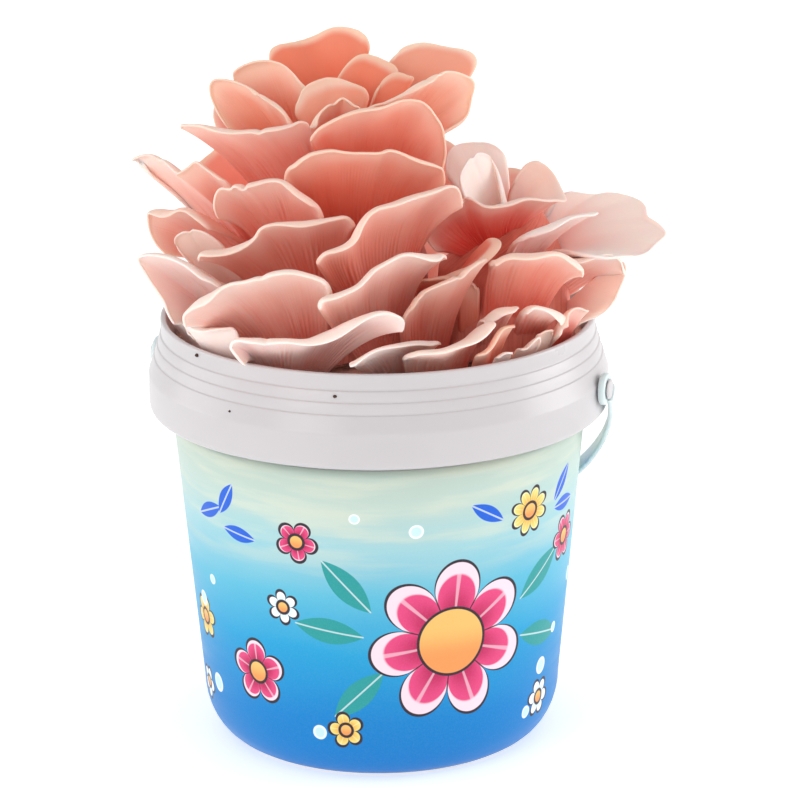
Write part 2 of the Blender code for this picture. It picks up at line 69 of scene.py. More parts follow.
# turned outlines, as radius and height
BASE_RADIUS = 57.5
CORNER_WIDE = 16.7
CORNER_HIGH = 23.9
BODY_TOP_RADIUS = 85.4
BODY_TOP = 142.0
WALL = 1.9
PAIL_FLOOR = 2.6
TURN_STEPS = 144
RIM_BAND = [(BODY_TOP_RADIUS, BODY_TOP), (86.2, 152.6), (92.2, 152.6), (92.5, 142.8), (93.1, 142.15),
            (93.8, 142.15), (94.7, 143.2), (95.0, 144.8), (95.05, 156.4), (94.9, 157.4), (94.35, 158.6)]
SHOULDER_RIDGES = ((92.95, 163.9), (91.55, 168.6), (90.2, 173.2))
RIM_LIP = [(89.8, 179.5), (89.55, 180.1), (89.0, 180.35), (88.2, 180.35), (87.6, 180.1), (87.35, 179.4)]
STUD = [(0, 92.7), (3.0, 92.7), (3.0, 98.6), (4.0, 98.6), (4.2, 98.75), (4.2, 99.1), (3.7, 99.5),
        (2.4, 99.6), (0, 99.6)]
WELD_REACH = 0.00001

# substrate
SOIL_TOP = 170.4
SOIL_RINGS = np.r_[np.linspace(1, 83.4, 64), 84.7, 85.4]
SOIL_SIDES = np.array([(84.6, 160.0), (83.0, 142.0), (71.6, 24.2), (56.0, 3.2), (0.5, 3.2)])
SOIL_STEPS = 160
SOIL_SEED = 11
SOIL_LUMPS = 240

# crumbs on the rim: turn in degrees, distance from the axis, height and size
CRUMB_SEED = 5
CRUMBS = ((-144, 89.9, 178.0, 0.7), (-101, 90.8, 171.4, 0.6), (-129.3, 93.7, 160.5, 0.5))

# label film and what is printed on it, as distance around from the front and height
LABEL_TOP = 139.0
LABEL_GAP = 0.15
LABEL_THICK = 0.25
LABEL_RADIUS = 80.2
LABEL_STEPS = 216
LABEL_EDGES = (-252.0, -115.0, 115.0, 252.0)
LABEL_NAMES = ("label_print_left", "label_print_front", "label_print_right")
LABEL_SKY = ((0.0, (0.001, 0.17, 0.50)), (0.20, (0.001, 0.20, 0.54)), (0.42, (0.012, 0.32, 0.60)),
             (0.60, (0.10, 0.45, 0.62)), (0.75, (0.32, 0.57, 0.62)), (0.88, (0.46, 0.59, 0.54)),
             (1.0, (0.46, 0.55, 0.48)))
CLOUD_CREAM = (0.66, 0.68, 0.55)
INK = (0.03, 0.02, 0.03)
ROSY = ((0.45, 0.015, 0.09), (0.72, 0.06, 0.20), (0.86, 0.66, 0.74))
SUNNY = ((0.80, 0.42, 0.08), (0.82, 0.64, 0.18), (0.86, 0.80, 0.45))
SNOWY = ((0.60, 0.74, 0.82), (0.82, 0.86, 0.90), (0.90, 0.90, 0.92))
HEART_LOW = (0.80, 0.30, 0.09)
HEART_HIGH = (0.84, 0.48, 0.14)
LEAF_GREEN = (0.02, 0.30, 0.30)
SPRIG_BLUE = (0.01, 0.11, 0.62)
RIB_PALE = (0.75, 0.85, 0.9)
DROP_EDGE = (0.86, 0.92, 0.95)
DROP_HEART = (0.35, 0.68, 0.85)
# the large blossoms' places around and height, and the place and turn of each leaf beside them
LARGE_BLOSSOMS = (30, 285, -220)
LARGE_HEIGHT = 62
LARGE_LEAVES = ((-44, 26, 2.3), (-52, 6, 3), (-40, -22, 3.9), (46, 20, 0.6), (50, -8, -0.2))
# around, height, size, petals, turn and tints
BLOSSOMS = (
    (-58, 44, 15, 5, 0.9, ROSY), (-34, 106, 9.5, 5, 0.2, ROSY), (96, 92, 11, 6, 0, ROSY),
    (160, 50, 17, 6, 0.4, ROSY), (-130, 84, 13, 5, 0.5, ROSY),
    (66, 112, 11, 8, 0.3, SUNNY), (-16, 24, 8.5, 5, 0.7, SUNNY),
    (84, 24, 9, 6, 0.1, SNOWY), (-42, 76, 8, 6, 0.4, SNOWY),
    (-96, 58, 10, 6, 0.9, SUNNY), (-104, 26, 8, 5, 0.2, SNOWY), (200, 104, 12, 6, 0.3, SUNNY))
# around, height and turn
SPRIGS = ((-80, 110, 0.4), (-68, 118, 1), (-62, 104, -0.1), (88, 118, 0.9),
          (92, 108, 0), (44, 116, 2.6), (140, 112, 0.5), (-160, 116, 2.6))
# around, height and radius
DROPS = ((-96, 66, 3.4), (-84, 78, 2.2), (-90, 30, 4.2), (-28, 22, 3.2),
         (84, 38, 3.8), (94, 52, 2.4), (74, 20, 2.8), (112, 70, 3.2),
         (-10, 118, 2.2), (14, 112, 3), (196, 80, 4), (-180, 50, 3.6))

# bail handle
PIVOT_HEIGHT = 155.0
PIVOT_TURN = 18.0
BAIL_HALF_WIDTH = 99.0
BAIL_REACH = 125.0
BAIL_BULGE = 1.64
BAIL_HANG = 45.5
BAIL_WIDE = 8.0
BAIL_THICK = 2.2
BAIL_STEPS = 120
# the strip's section, as shares of its half thickness and half width
BAIL_SECTION = ((1, 0.72), (0.72, 1), (-0.72, 1), (-1, 0.72),
                (-1, -0.72), (-0.72, -1), (0.72, -1), (1, -0.72))
EYE_FROM_AXIS = 96.9
EYE_RADIUS = 6.6
EYE_THICK = 2.8
EYE_HOLE = 3.4
EYE_ROUND = 0.5
EYE_HOLE_ROUND = 0.3
HEAD_HOLE = 4.7

# stalks: x, y, z, half width and half depth of each ring
STALK_STEPS = 150
STALKS = {
    "stalk_main": [(-21, -4, 170.8, 42, 45), (-21, -4, 184, 41, 40), (-17, -4, 205, 37, 29),
                   (-14, -3, 228, 27, 21), (-17, -3, 246, 19, 16), (-16, -3, 256, 14, 12)],
    "stalk_right": [(52, -10, 170.8, 29, 32), (51, -10, 184, 28, 28), (51, -7, 202, 26, 20),
                    (56, -5, 216, 16, 15), (57, -5, 224, 10, 10)],
}

# gills and margin of a cap
GILL_SPACING = 1.5
GILL_HEIGHT = 0.45
STEM_SINK = 5.0
FACE_ROWS = np.r_[np.linspace(0, 0.9, 17), 0.94, 0.97, 1.0]
BACK_ROWS = np.r_[0, 0.15, 0.3, 0.45, 0.6, 0.72, 0.82, 0.9, 0.95, 1.0]
ROLL_SHARES = (0.2, 0.4, 0.6, 0.8, 1.0)
TIP_ANGLES = np.linspace(0, math.pi, 7)[1:-1]

# caps: name, tone, root, bow, half width of the stem, thickness, and points along the lip
CAPS = [
    # top of the main cluster
    ("cap_top_back", "orange", (-17, 7, 254), 3, 5, 2.8,
     [(-2, 24, 286), (-8, 31, 290.5), (-19, 36, 291.5), (-30, 34, 287), (-41, 30, 286), (-45, 24, 282)]),
    ("cap_top_right", "peach", (-1, 5, 249), 3, 5, 2.6,
     [(40, 12, 277), (41, 17, 283.5), (31, 24, 286), (21, 27, 287.5), (12, 25, 286), (6, 21, 281.5)]),
    ("cap_inner_back", "orange", (-13, 1, 254), 3, 5, 2.6,
     [(10, 9, 278), (6, 12, 281), (-5, 13, 285), (-12, 11, 281), (-16, 7, 276)]),
    ("cap_inner_right", "orange", (-5, -4, 253), 2, 2, 2.2,
     [(16, 2, 278), (8, 4, 279), (2, 2, 276), (0, -2, 273)]),
    ("cap_right_front_top", "peach", (2, -10, 247), 3, 6, 2.6,
     [(-6, -21, 273), (3, -22, 275), (11, -20, 278), (17, -18, 282), (26, -13, 284), (38, -5, 280),
      (39, -3, 272), (36, -5, 263), (29, -9, 259)]),
    ("cap_left_back_top", "peach", (-31, 1, 244), 3, 5, 2.6,
     [(-59, 10, 278), (-55, 9, 283.5), (-45, 5, 286.5), (-36, 2, 284), (-30, 0, 278), (-27, -2, 275)]),
    ("cap_left_front_top", "peach", (-32, -13, 240), 3, 5, 2.6,
     [(-62, -8, 263), (-67, -4, 273), (-66, -4, 280.5), (-59, -7, 281.5), (-47, -11, 278), (-40, -15, 274),
      (-35, -24, 267)]),
    ("cap_cup", "peach", (-18, -6, 253), 3, 5, 2.8,
     [(-2, -8, 273), (-8, -6, 277), (-17, -4, 279), (-23, -5, 278), (-29, -7, 275), (-31, -10, 271),
      (-33, -12, 267)]),
    ("cap_inner_front", "peach", (-18, -14, 246), 3, 5, 2.6,
     [(-28, -30, 266), (-25, -28, 271), (-20, -27, 274), (-15, -26, 277), (-12, -25, 277), (-6, -25, 273)]),
    # main cluster, fifth tier
    ("cap_five_left", "rose", (-32, -20, 226), 7, 9, 3.0,
     [(-79, -22, 265), (-71, -30, 267), (-62, -38, 269), (-46, -42, 269), (-34, -40, 270), (-27, -37, 271)]),
    ("cap_five_right", "salmon", (-1, -20, 224), 7, 9, 3.0,
     [(-28, -46, 268), (-23, -46, 270), (-15, -44, 275), (-6, -43, 278), (3, -41, 278), (12, -37, 278),
      (20, -31, 276), (26, -27, 268), (28, -23, 256), (28, -22, 246)]),
    # main cluster, fourth tier
    ("cap_four_middle", "salmon", (-8, -27, 204), 8, 11, 3.2,
     [(-38, -50, 252), (-35, -53, 258), (-28, -56, 263), (-19, -57, 265), (-10, -57, 262), (1, -55, 262),
      (5, -52, 263), (13, -48, 260), (23, -41, 254), (29, -35, 246)]),
    ("cap_four_left", "rose", (-35, -28, 205), 6, 8, 3.0,
     [(-65, -44, 235), (-64, -48, 243), (-58, -53, 249), (-49, -57, 252), (-39, -60, 253), (-34, -62, 252),
      (-26, -63, 246), (-21, -62, 238)]),
    # left side of the main cluster
    ("cap_left_tip", "pink", (-51, -4, 202), 2, 6, 2.6,
     [(-92, -12, 242), (-98, -10, 249), (-91, -14, 251), (-82, -19, 248), (-75, -23, 244)]),
    ("cap_left_notched", "rose", (-45, -17, 211), 3, 5, 2.4,
     [(-81, -30, 247), (-76, -31, 250), (-72, -32, 253), (-68, -35, 251), (-60, -38, 246)]),
    ("cap_left_middle", "rose", (-48, -16, 196), 5, 8, 2.8,
     [(-87, -25, 213), (-90, -24, 219), (-92, -24, 227), (-91.5, -26, 232.5), (-84, -30, 234),
      (-78, -35, 236), (-73, -39, 233), (-68, -43, 228)]),
    ("cap_left_ear", "pink", (-50, -18, 190), 2, 5, 2.4,
     [(-61, -46, 221), (-68, -46, 226), (-74, -42, 227), (-80, -38, 224), (-81, -36, 219), (-80, -36, 216)]),
    # main cluster, third tier
    ("cap_three_left", "rose", (-28, -34, 190), 8, 11, 3.2,
     [(-73, -66, 223), (-68, -69, 227), (-58, -70, 229), (-49, -73, 232), (-45, -75, 237), (-36, -76, 240),
      (-25, -75, 240), (-14, -73, 241), (-8, -71, 238)]),
    ("cap_three_right", "rose", (4, -34, 190), 8, 11, 3.2,
     [(-25, -91, 228), (-21, -91, 230), (-16, -90, 232), (-11, -88, 236), (-7, -84, 242), (0, -78, 246),
      (11, -70, 248), (21, -62, 249), (29, -54, 248), (33, -50, 244), (35, -50, 241)]),
    # low on the left
    ("cap_left_low", "pale", (-55, -23, 174), 5, 9, 3.0,
     [(-84, -48, 191.5), (-87, -46, 200), (-92, -45, 208), (-96, -46, 216.5), (-91, -50, 220.5),
      (-83, -57, 222), (-76, -63, 220), (-70, -68, 217), (-62, -72, 213)]),
    # main cluster, second tier
    ("cap_two_left", "pink", (-34, -43, 170), 7, 13, 3.4,
     [(-76, -72, 196), (-74, -76, 204), (-69, -82, 212), (-58, -88, 218), (-46, -93, 222), (-34, -96, 226),
      (-26, -95, 224), (-20, -96, 220), (-18, -95, 216)]),
    ("cap_two_right", "pink", (2, -40, 174), 7, 10, 3.2,
     [(-24, -103, 213), (-22, -103, 216), (-14, -100, 218), (-7, -96, 220), (0, -91, 225), (9, -84, 228),
      (20, -74, 227), (28, -67, 224)]),
    # main cluster, first tier and buds over the rim
    ("cap_one_left", "pale", (-34.5, -53, 166.5), 5, 9, 3.2,
     [(-55, -80, 185), (-57, -83, 188), (-58, -86, 192), (-49, -96, 198), (-34, -101, 199),
      (-22, -103, 201), (-13, -102, 204), (-4, -99, 208), (3, -96, 208), (9, -92, 205), (12, -88, 200)]),
    ("cap_one_right", "pale", (10, -49, 163), 3, 7, 2.6,
     [(-12, -89, 185), (-11, -92, 187), (-3, -91, 191), (5, -87, 192), (13, -83, 192), (25, -77, 191)]),
    ("bud_rim_left", "pale", (-71, -22, 163), 1, 8, 2.6,
     [(-84, -6, 178), (-82, -14, 182), (-79, -24, 184), (-76, -33, 184), (-74, -41, 182)]),
    ("bud_rim_front", "pale", (-58, -46, 163), 1, 8, 2.6,
     [(-73, -44, 182), (-75, -49, 187), (-70, -57, 190.5), (-63, -63, 192), (-56, -67, 192)]),
    # in the gap between the two clusters
    ("cap_gap_upper", "salmon", (24, -15, 183), 3, 5, 2.6,
     [(16, -45, 206), (28, -52, 211), (40, -54, 217), (47, -50, 223), (45, -42, 223)]),
    ("cap_gap_lower", "rose", (20, -34, 168), 4, 8, 2.6,
     [(10, -70, 198), (13, -70, 204), (17, -71, 210), (28, -71, 215), (39, -69, 220), (44, -65, 221)]),
    ("stem_gap", "salmon", (37, -27, 166), 1, 4, 3.0,
     [(32, -40, 202), (34, -40, 204), (39, -40, 204), (41, -40, 201)]),
    # top of the right cluster
    ("cap_back_pale", "pale", (48, 6, 213), 3, 5, 2.6,
     [(54, 20, 240), (48, 22, 244), (42, 22, 245), (35, 20, 245), (30, 15, 243), (29, 8, 235)]),
    ("cap_folded", "pale", (49, -4, 215), 2, 5, 2.4,
     [(51, -16, 230), (51, -8, 236), (48, 0, 243), (42, -3, 247), (37, -9, 246), (34, -18, 240),
      (36, -25, 234)]),
    ("cap_funnel", "red", (54, -11, 209), 5, 7, 2.8,
     [(21, -21, 212), (22, -24, 221), (27, -27, 230), (33, -31, 235), (36, -34, 237), (41, -38, 235),
      (45, -40, 235), (52, -40, 237), (59, -36, 238), (67, -30, 236), (74, -18, 233), (74, -2, 236),
      (71, 8, 240), (63, 12, 243.5), (55, 10, 242)]),
    # right cluster, middle
    ("cap_right_wing", "pale", (57, -23, 202), 4, 5, 2.8,
     [(58, -50, 225), (63, -50, 229), (71, -48, 231), (81, -42, 232), (89, -38, 233)]),
    ("cap_far_right", "pale", (72, -2, 203), 4, 7, 3.0,
     [(78, -44, 218), (85, -45, 216), (95, -40, 214), (103, -34, 212), (110, -26, 211), (115, -20, 213),
      (118, -14, 216), (115, -8, 218), (110, -2, 219), (108, 4, 222), (104, 9, 224), (96, 12, 225),
      (87, 12, 225), (77, 8, 226), (70, 4, 222)]),
    ("cap_right_middle", "rose", (54, -34, 186), 7, 11, 3.2,
     [(45, -62, 219), (48, -70, 223), (54, -76, 226), (62, -79, 227), (69, -76, 226), (75, -70, 223),
      (80, -64, 219), (83, -60, 213)]),
    # right cluster, low and buds at the rim
    ("cap_right_low", "pink", (61, -35, 180), 3, 6, 2.8,
     [(59, -76, 201), (61, -77, 204), (65, -75, 203), (73, -68, 199), (75, -64, 196)]),
    ("cap_right_low_lobe", "pink", (44, -37, 176), 3, 5, 2.6,
     [(41, -64, 195), (44, -67, 199), (47, -70, 202), (53, -73, 203), (56, -73, 203)]),
    ("cap_front_bottom", "pink", (24, -56, 163), 5, 10, 3.4,
     [(10, -84, 186), (16, -92, 190), (26, -95, 193), (35, -93, 196), (41, -88, 199), (44, -82, 200),
      (47, -77, 198)]),
    ("cap_front_diagonal", "salmon", (43, -50, 163), 2, 5, 2.8,
     [(38, -76, 184), (44, -74, 187), (48, -72, 193), (51, -66, 194), (54, -61, 192)]),
    ("bud_front_right", "pale", (46, -60, 163), 1, 4, 2.6,
     [(46, -70, 181), (49, -69, 183), (53, -66, 182)]),
    ("bud_right_a", "pink", (54, -50, 163), 1, 5, 2.8,
     [(55, -62, 182), (61, -60, 185), (64, -57, 185), (65, -56, 182)]),
    ("bud_right_b", "rose", (63.5, -42.5, 163), 1, 3.5, 2.2,
     [(63, -54, 185), (66, -51, 187), (69, -47, 186), (70, -46, 183)]),
    ("cap_right_rim", "red", (70, -29, 164), 2, 5, 2.4,
     [(73, -47, 184), (73, -50, 188), (75, -48, 193), (80, -44, 194), (85, -38, 191)]),
    ("cap_right_side", "pink", (72, -17, 173), 3, 6, 2.6,
     [(88, -31, 186), (93, -32, 190), (97, -29, 195), (99, -24, 200), (98, -20, 203), (96, -18, 204)]),
    ("cap_right_far_low", "pink", (64, -7, 184), 4, 9, 2.6,
     [(68, -34, 209), (75, -39, 212.5), (83, -41, 213), (90, -38, 212.5), (97, -31, 209.5), (99, -24, 202)]),
    # far side, which the picture doesn't show
    ("cap_back_low_left", "rose", (-38, 32, 168), 6, 11, 3.2,
     [(-12, 60, 186), (-20, 72, 197), (-33, 76, 204), (-48, 70, 205), (-61, 58, 201), (-71, 43, 191)]),
    ("cap_back_low_middle", "rose", (0, 34, 168), 6, 11, 3.2,
     [(36, 58, 186), (34, 68, 197), (23, 78, 204), (8, 83, 208), (-6, 79, 203), (-12, 72, 194)]),
    ("cap_back_mid_left", "salmon", (-46, 16, 194), 6, 9, 3.0,
     [(-34, 50, 222), (-42, 58, 232), (-56, 53, 239), (-69, 37, 238), (-76, 22, 231), (-77, 9, 222)]),
    ("cap_back_mid_middle", "rose", (-14, 26, 196), 6, 9, 3.0,
     [(22, 50, 220), (14, 62, 231), (0, 70, 239), (-14, 71, 240), (-27, 63, 232), (-32, 54, 224)]),
    ("cap_back_mid_right", "rose", (8, 16, 204), 5, 8, 2.8,
     [(34, 20, 226), (36, 32, 235), (30, 46, 240), (18, 53, 238)]),
    ("cap_back_high_left", "rose", (-34, 10, 230), 5, 8, 2.8,
     [(-28, 44, 260), (-40, 42, 269), (-54, 30, 271), (-64, 15, 266), (-66, 4, 258)]),
    ("cap_back_high_right", "rose", (-6, 14, 228), 5, 8, 2.8,
     [(28, 26, 262), (22, 38, 270), (8, 45, 272), (-6, 48, 268), (-16, 46, 260)]),
    ("cap_right_back_low", "rose", (66, 14, 170), 5, 9, 3.0,
     [(84, 2, 190), (82.5, 10, 197), (81, 19, 202), (75, 33, 206), (66, 44, 204), (57, 48, 196)]),
    ("cap_right_back_mid", "rose", (56, 8, 192), 4, 7, 2.6,
     [(73, 28, 220), (63, 38, 228), (51, 41, 229), (41, 36, 222)]),
]

# tones: gill side deep inside, in the middle and near the margin, then the margin and the upper side. The
# steps from light to deep are painted shade, darker towards the stem; the pale margin is partly the flesh's
# own paler edge and partly painted highlight
TONES = {
    "orange": ((0.82, 0.11, 0.045), (0.84, 0.19, 0.10), (0.87, 0.28, 0.17),
               (0.93, 0.64, 0.50), (0.86, 0.21, 0.11)),
    "peach": ((0.82, 0.16, 0.08), (0.86, 0.31, 0.20), (0.89, 0.43, 0.31),
              (0.94, 0.69, 0.57), (0.88, 0.35, 0.23)),
    "salmon": ((0.82, 0.14, 0.095), (0.85, 0.22, 0.14), (0.88, 0.34, 0.24),
               (0.92, 0.62, 0.50), (0.88, 0.28, 0.20)),
    "rose": ((0.84, 0.20, 0.145), (0.87, 0.36, 0.28), (0.90, 0.50, 0.41),
             (0.92, 0.66, 0.57), (0.90, 0.42, 0.33)),
    "pink": ((0.85, 0.27, 0.21), (0.89, 0.48, 0.40), (0.92, 0.62, 0.54),
             (0.92, 0.71, 0.64), (0.95, 0.71, 0.63)),
    "pale": ((0.85, 0.40, 0.34), (0.88, 0.60, 0.55), (0.91, 0.70, 0.66),
             (0.92, 0.75, 0.70), (0.96, 0.77, 0.71)),
    # red: its deep and middle tones are darker still, painted shade for caps that lie in shadow between the
    # clusters and low at the rim
    "red": ((0.72, 0.055, 0.04), (0.78, 0.11, 0.08), (0.86, 0.33, 0.26),
            (0.92, 0.64, 0.56), (0.96, 0.74, 0.66)),
}
# how strongly a cap's colour nears its margin's over the last millimetres, and from how many on; this pale
# band is partly the margin's own paler flesh and partly painted highlight
PALE_TONES = ("rose", "pink", "pale")
PALE_BAND = 0.60
PLAIN_BAND = 0.36
BAND_REACH = 24.0

# millimetres by which a cap's lip grows or shrinks, from its first to its last point
SPREAD = {
    "cap_funnel": (3.0, 3.5, 0.0, 0.0, -2.5, -3.5),
    "cap_far_right": (0.0, -1.5, -3.0, 1.0, 2.0, 2.0),
    "cap_right_far_low": (1.0, 4.0, 3.0),
    "cap_right_side": (0.0, 0.0, 3.0),
    "cap_two_left": (4.0, 0.5, 0.0, 0.0, 0.0),
    "bud_rim_front": (2.5, 3.0, 1.5),
    "cap_top_back": (2.0, -1.5, -1.0),
    "cap_top_right": (0.0, -1.5, -1.0),
    "cap_left_tip": (0.0, 1.2, 1.5),
    "cap_left_middle": (0.0, 0.0, 1.5),
    "cap_five_left": (1.5, 0.5, 0.0),
    "cap_left_back_top": (-1.0, -1.0, 0.0),
    "cap_left_front_top": (-0.5, -1.5, -0.5),
}
NO_SPREAD = (0.0, 0.0)


class Value:
    """A node's output that takes plain arithmetic."""

    def __init__(self, formula, socket):
        self.formula = formula
        self.socket = socket

    def __add__(self, other):
        return self.formula.math("ADD", self, other)

    def __sub__(self, other):
        return self.formula.math("SUBTRACT", self, other)

    def __rsub__(self, other):
        return self.formula.math("SUBTRACT", other, self)

    def __mul__(self, other):
        return self.formula.math("MULTIPLY", self, other)

    def __truediv__(self, other):
        return self.formula.math("DIVIDE", self, other)

    def __abs__(self):
        return self.formula.math("ABSOLUTE", self)


class Formula:
    """Writes a node tree as short calls."""

    def __init__(self, tree):
        self.tree = tree
        self.shader = tree.nodes.get("Principled BSDF")

    def feed(self, socket, value):
        if isinstance(value, Value):
            self.tree.links.new(value.socket, socket)
        elif isinstance(value, tuple) and socket.type == "RGBA":
            socket.default_value = (*value, 1.0)
        else:
            socket.default_value = value

    def node(self, kind, inputs=(), output=0, **settings):
        """One output of a new node, whose inputs are given in order or by name or number."""
        made = self.tree.nodes.new("ShaderNode" + kind)
        for key, setting in settings.items():
            setattr(made, key, setting)
        for key, value in inputs.items() if isinstance(inputs, dict) else enumerate(inputs):
            self.feed(made.inputs[key], value)
        return Value(self, made.outputs[output])

    def math(self, operation, *values):
        return self.node("Math", values, operation=operation)

    def step(self, value, start, end, low=0.0, high=1.0):
        return self.node("MapRange", (value, start, end, low, high), interpolation_type="SMOOTHSTEP")

    def mix(self, share, first, second):
        return self.node("Mix", {"Factor": share, 6: first, 7: second}, 2, data_type="RGBA")

    def attribute(self, name):
        return self.node("Attribute", (), "Fac", attribute_name=name)

    def vector(self, x, y, z=0.0):
        return self.node("CombineXYZ", (x, y, z))

    def split(self, vector):
        made = self.node("SeparateXYZ", (vector,)).socket.node
        return [Value(self, socket) for socket in made.outputs]

    def noise(self, vector, scale, detail=3.0, roughness=0.5):
        inputs = {"Vector": vector, "Scale": scale, "Detail": detail, "Roughness": roughness}
        return self.node("TexNoise", inputs, "Fac")

    def place(self):
        return self.node("TexCoord", (), "Object")

    def ramp(self, value, stops):
        made = self.node("ValToRGB", (value,))
        elements = made.socket.node.color_ramp.elements
        while len(elements) < len(stops):
            elements.new(0.5)
        for element, (place, colour) in zip(elements, stops):
            element.position = place
            element.color = (*colour, 1.0)
        return made

    def surface(self, colour, roughness, specular=0.5, depth=()):
        """Sets the shader. The depth is the weight, radius and scale of the light inside."""
        inputs = {"Base Color": colour, "Roughness": roughness, "Specular IOR Level": specular}
        inputs.update(zip(("Subsurface Weight", "Subsurface Radius", "Subsurface Scale"), depth))
        for key, value in inputs.items():
            self.feed(self.shader.inputs[key], value)

    def bump(self, height, strength, distance):
        inputs = {"Strength": strength, "Distance": distance, "Height": height}
        self.feed(self.shader.inputs["Normal"], self.node("Bump", inputs))


def new_material(name):
    """A new Principled material and its formula."""
    made = bpy.data.materials.new(name)
    made.use_nodes = True
    return made, Formula(made.node_tree)


def flesh(tone):
    """Mushroom flesh: face, margin and upper side, told apart by the mesh's own values, with painted shade
    towards the stem and in the gill grooves, and a pale margin that is partly painted highlight.
    """
    deep, middle, light, margin, upper = TONES[tone]
    made, f = new_material("flesh_" + tone)
    rise, near, ridge, top, along, seed = (
        f.attribute(key) for key in ("rise", "near", "ridge", "top", "along", "seed"))
    gill_side = 1.0 - top
    streak = f.noise(f.vector(along * 1.1, rise * 1.6, seed), 1.0, 4.0, 0.65)
    cloud = f.noise(f.vector(along * 0.05, rise * 1.8, seed), 1.0, 2.0)
    # painted shade: the face darkens from the light tone near the lip to the deep tone at the stem, broken up
    # by the cloud noise
    level = rise + (cloud - 0.5) * 0.6
    colour = f.mix(f.step(level, 0.12, 0.60), deep, middle)
    colour = f.mix(f.step(level, 0.50, 1.05), colour, light)
    lines = f.step(streak, 0.48, 0.74) * f.step(near, 2.0, 12.0, 0.1, 0.4)
    colour = f.mix(lines * (1.0 - top * 0.5), colour, light)
    scratch = f.step(streak, 0.44, 0.24) * f.step(near, 3.0, 12.0, 0.0, 0.4)
    colour = f.mix(scratch * gill_side, colour, deep)
    # painted shade: the grooves between the gills are darkened towards the deep tone
    groove_shade = f.step(ridge, 0.1, -0.45) * gill_side
    colour = f.mix(groove_shade * 0.25, colour, deep)
    shade = f.step(level, 0.1, 0.9, 0.30, 0.0)
    colour = f.mix(top * 0.92, colour, f.mix(shade, upper, deep))
    strength = PALE_BAND if tone in PALE_TONES else PLAIN_BAND
    # pale band towards the lip: partly the margin's own paler flesh, partly painted highlight where the face
    # curves up to the lip
    band_and_highlight = f.step(near, BAND_REACH, 1.0, 0.0, strength) * f.step(cloud, 0.3, 0.7, 0.5, 1.0)
    colour = f.mix(band_and_highlight * f.step(top, 0.0, 1.0, 1.0, 0.4), colour, margin)
    # the rolled lip takes the margin colour: partly its own paler flesh, partly painted highlight
    width = cloud * f.step(top, 0.0, 1.0, 16.0, 3.0) + 2.4
    rim = f.step((near + 1.6) / width, 1.0, -0.05)
    colour = f.mix(rim * f.step(top, 0.0, 1.0, 0.72, 0.9), colour, margin)
    f.surface(colour, f.step(streak, 0.2, 0.8, 0.52, 0.68), 0.3, (0.42, (1.0, 0.42, 0.30), 0.005))
    grain = f.noise(f.place(), 900.0, 3.0, 0.6)
    f.bump(streak * 0.7 + grain * 0.3, 0.25, 0.0005)
    return made


def stalk_material():
    made, f = new_material("stalk_flesh_and_shade")
    height = f.attribute("rise")
    fibre = f.noise(f.vector(f.attribute("along") * 0.9, height * 2.0, 3.0), 1.0, 5.0, 0.6)
    patch = f.noise(f.place(), 40.0)
    # painted shade: the stalk's base is a deep red standing in for the shade inside the clusters, with paler
    # patches over it
    colour = f.mix(f.step(height, 0.0, 1.0), (0.72, 0.24, 0.18), (0.70, 0.18, 0.12))
    colour = f.mix(f.step(fibre, 0.4, 0.75, 0.0, 0.55), colour, (0.46, 0.08, 0.06))
    colour = f.mix(f.step(patch, 0.5, 0.8, 0.0, 0.3), colour, (0.86, 0.62, 0.53))
    f.surface(colour, f.step(fibre, 0.2, 0.8, 0.55, 0.75), depth=(0.2, (1.0, 0.42, 0.28), 0.003))
    f.bump(fibre, 0.6, 0.001)
    return made


def soil_material(name, pale):
    """Dark crumbs, under as many pale threads as the given share."""
    made, f = new_material(name)
    crumbs = f.noise(f.place(), 260.0, 6.0, 0.65)
    threads = f.noise(f.place(), 45.0, 4.0, 0.6)
    light = 0.08 + 0.3 * pale
    colour = f.mix(f.step(crumbs, 0.35, 0.7), (0.06, 0.028, 0.018), (light, light * 0.55, light * 0.37))
    colour = f.mix(f.step(threads, 0.38, 0.58, 0.0, pale), colour, (0.80, 0.50, 0.42))
    f.surface(colour, f.step(crumbs, 0.3, 0.7, 0.98, 0.8))
    f.bump(crumbs, 0.9, 0.0015)
    return made


def pail_material():
    made, f = new_material("pail_plastic")
    haze = f.noise(f.place(), 22.0, 4.0)
    colour = f.mix(f.step(haze, 0.35, 0.75), (0.545, 0.523, 0.537), (0.525, 0.504, 0.518))
    f.surface(colour, f.step(haze, 0.2, 0.8, 0.27, 0.31), depth=(0.12, (1.0, 0.9, 0.9), 0.002))
    f.bump(f.noise(f.place(), 700.0, 2.0), 0.08, 0.0003)
    return made


def bail_material():
    made, f = new_material("bail_plastic")
    haze = f.noise(f.place(), 60.0)
    colour = f.mix(f.step(haze, 0.3, 0.7), (0.62, 0.71, 0.72), (0.70, 0.78, 0.78))
    f.surface(colour, f.step(haze, 0.3, 0.7, 0.28, 0.4), depth=(0.4, (0.8, 1.0, 1.0), 0.002))
    f.bump(haze, 0.1, 0.0003)
    return made


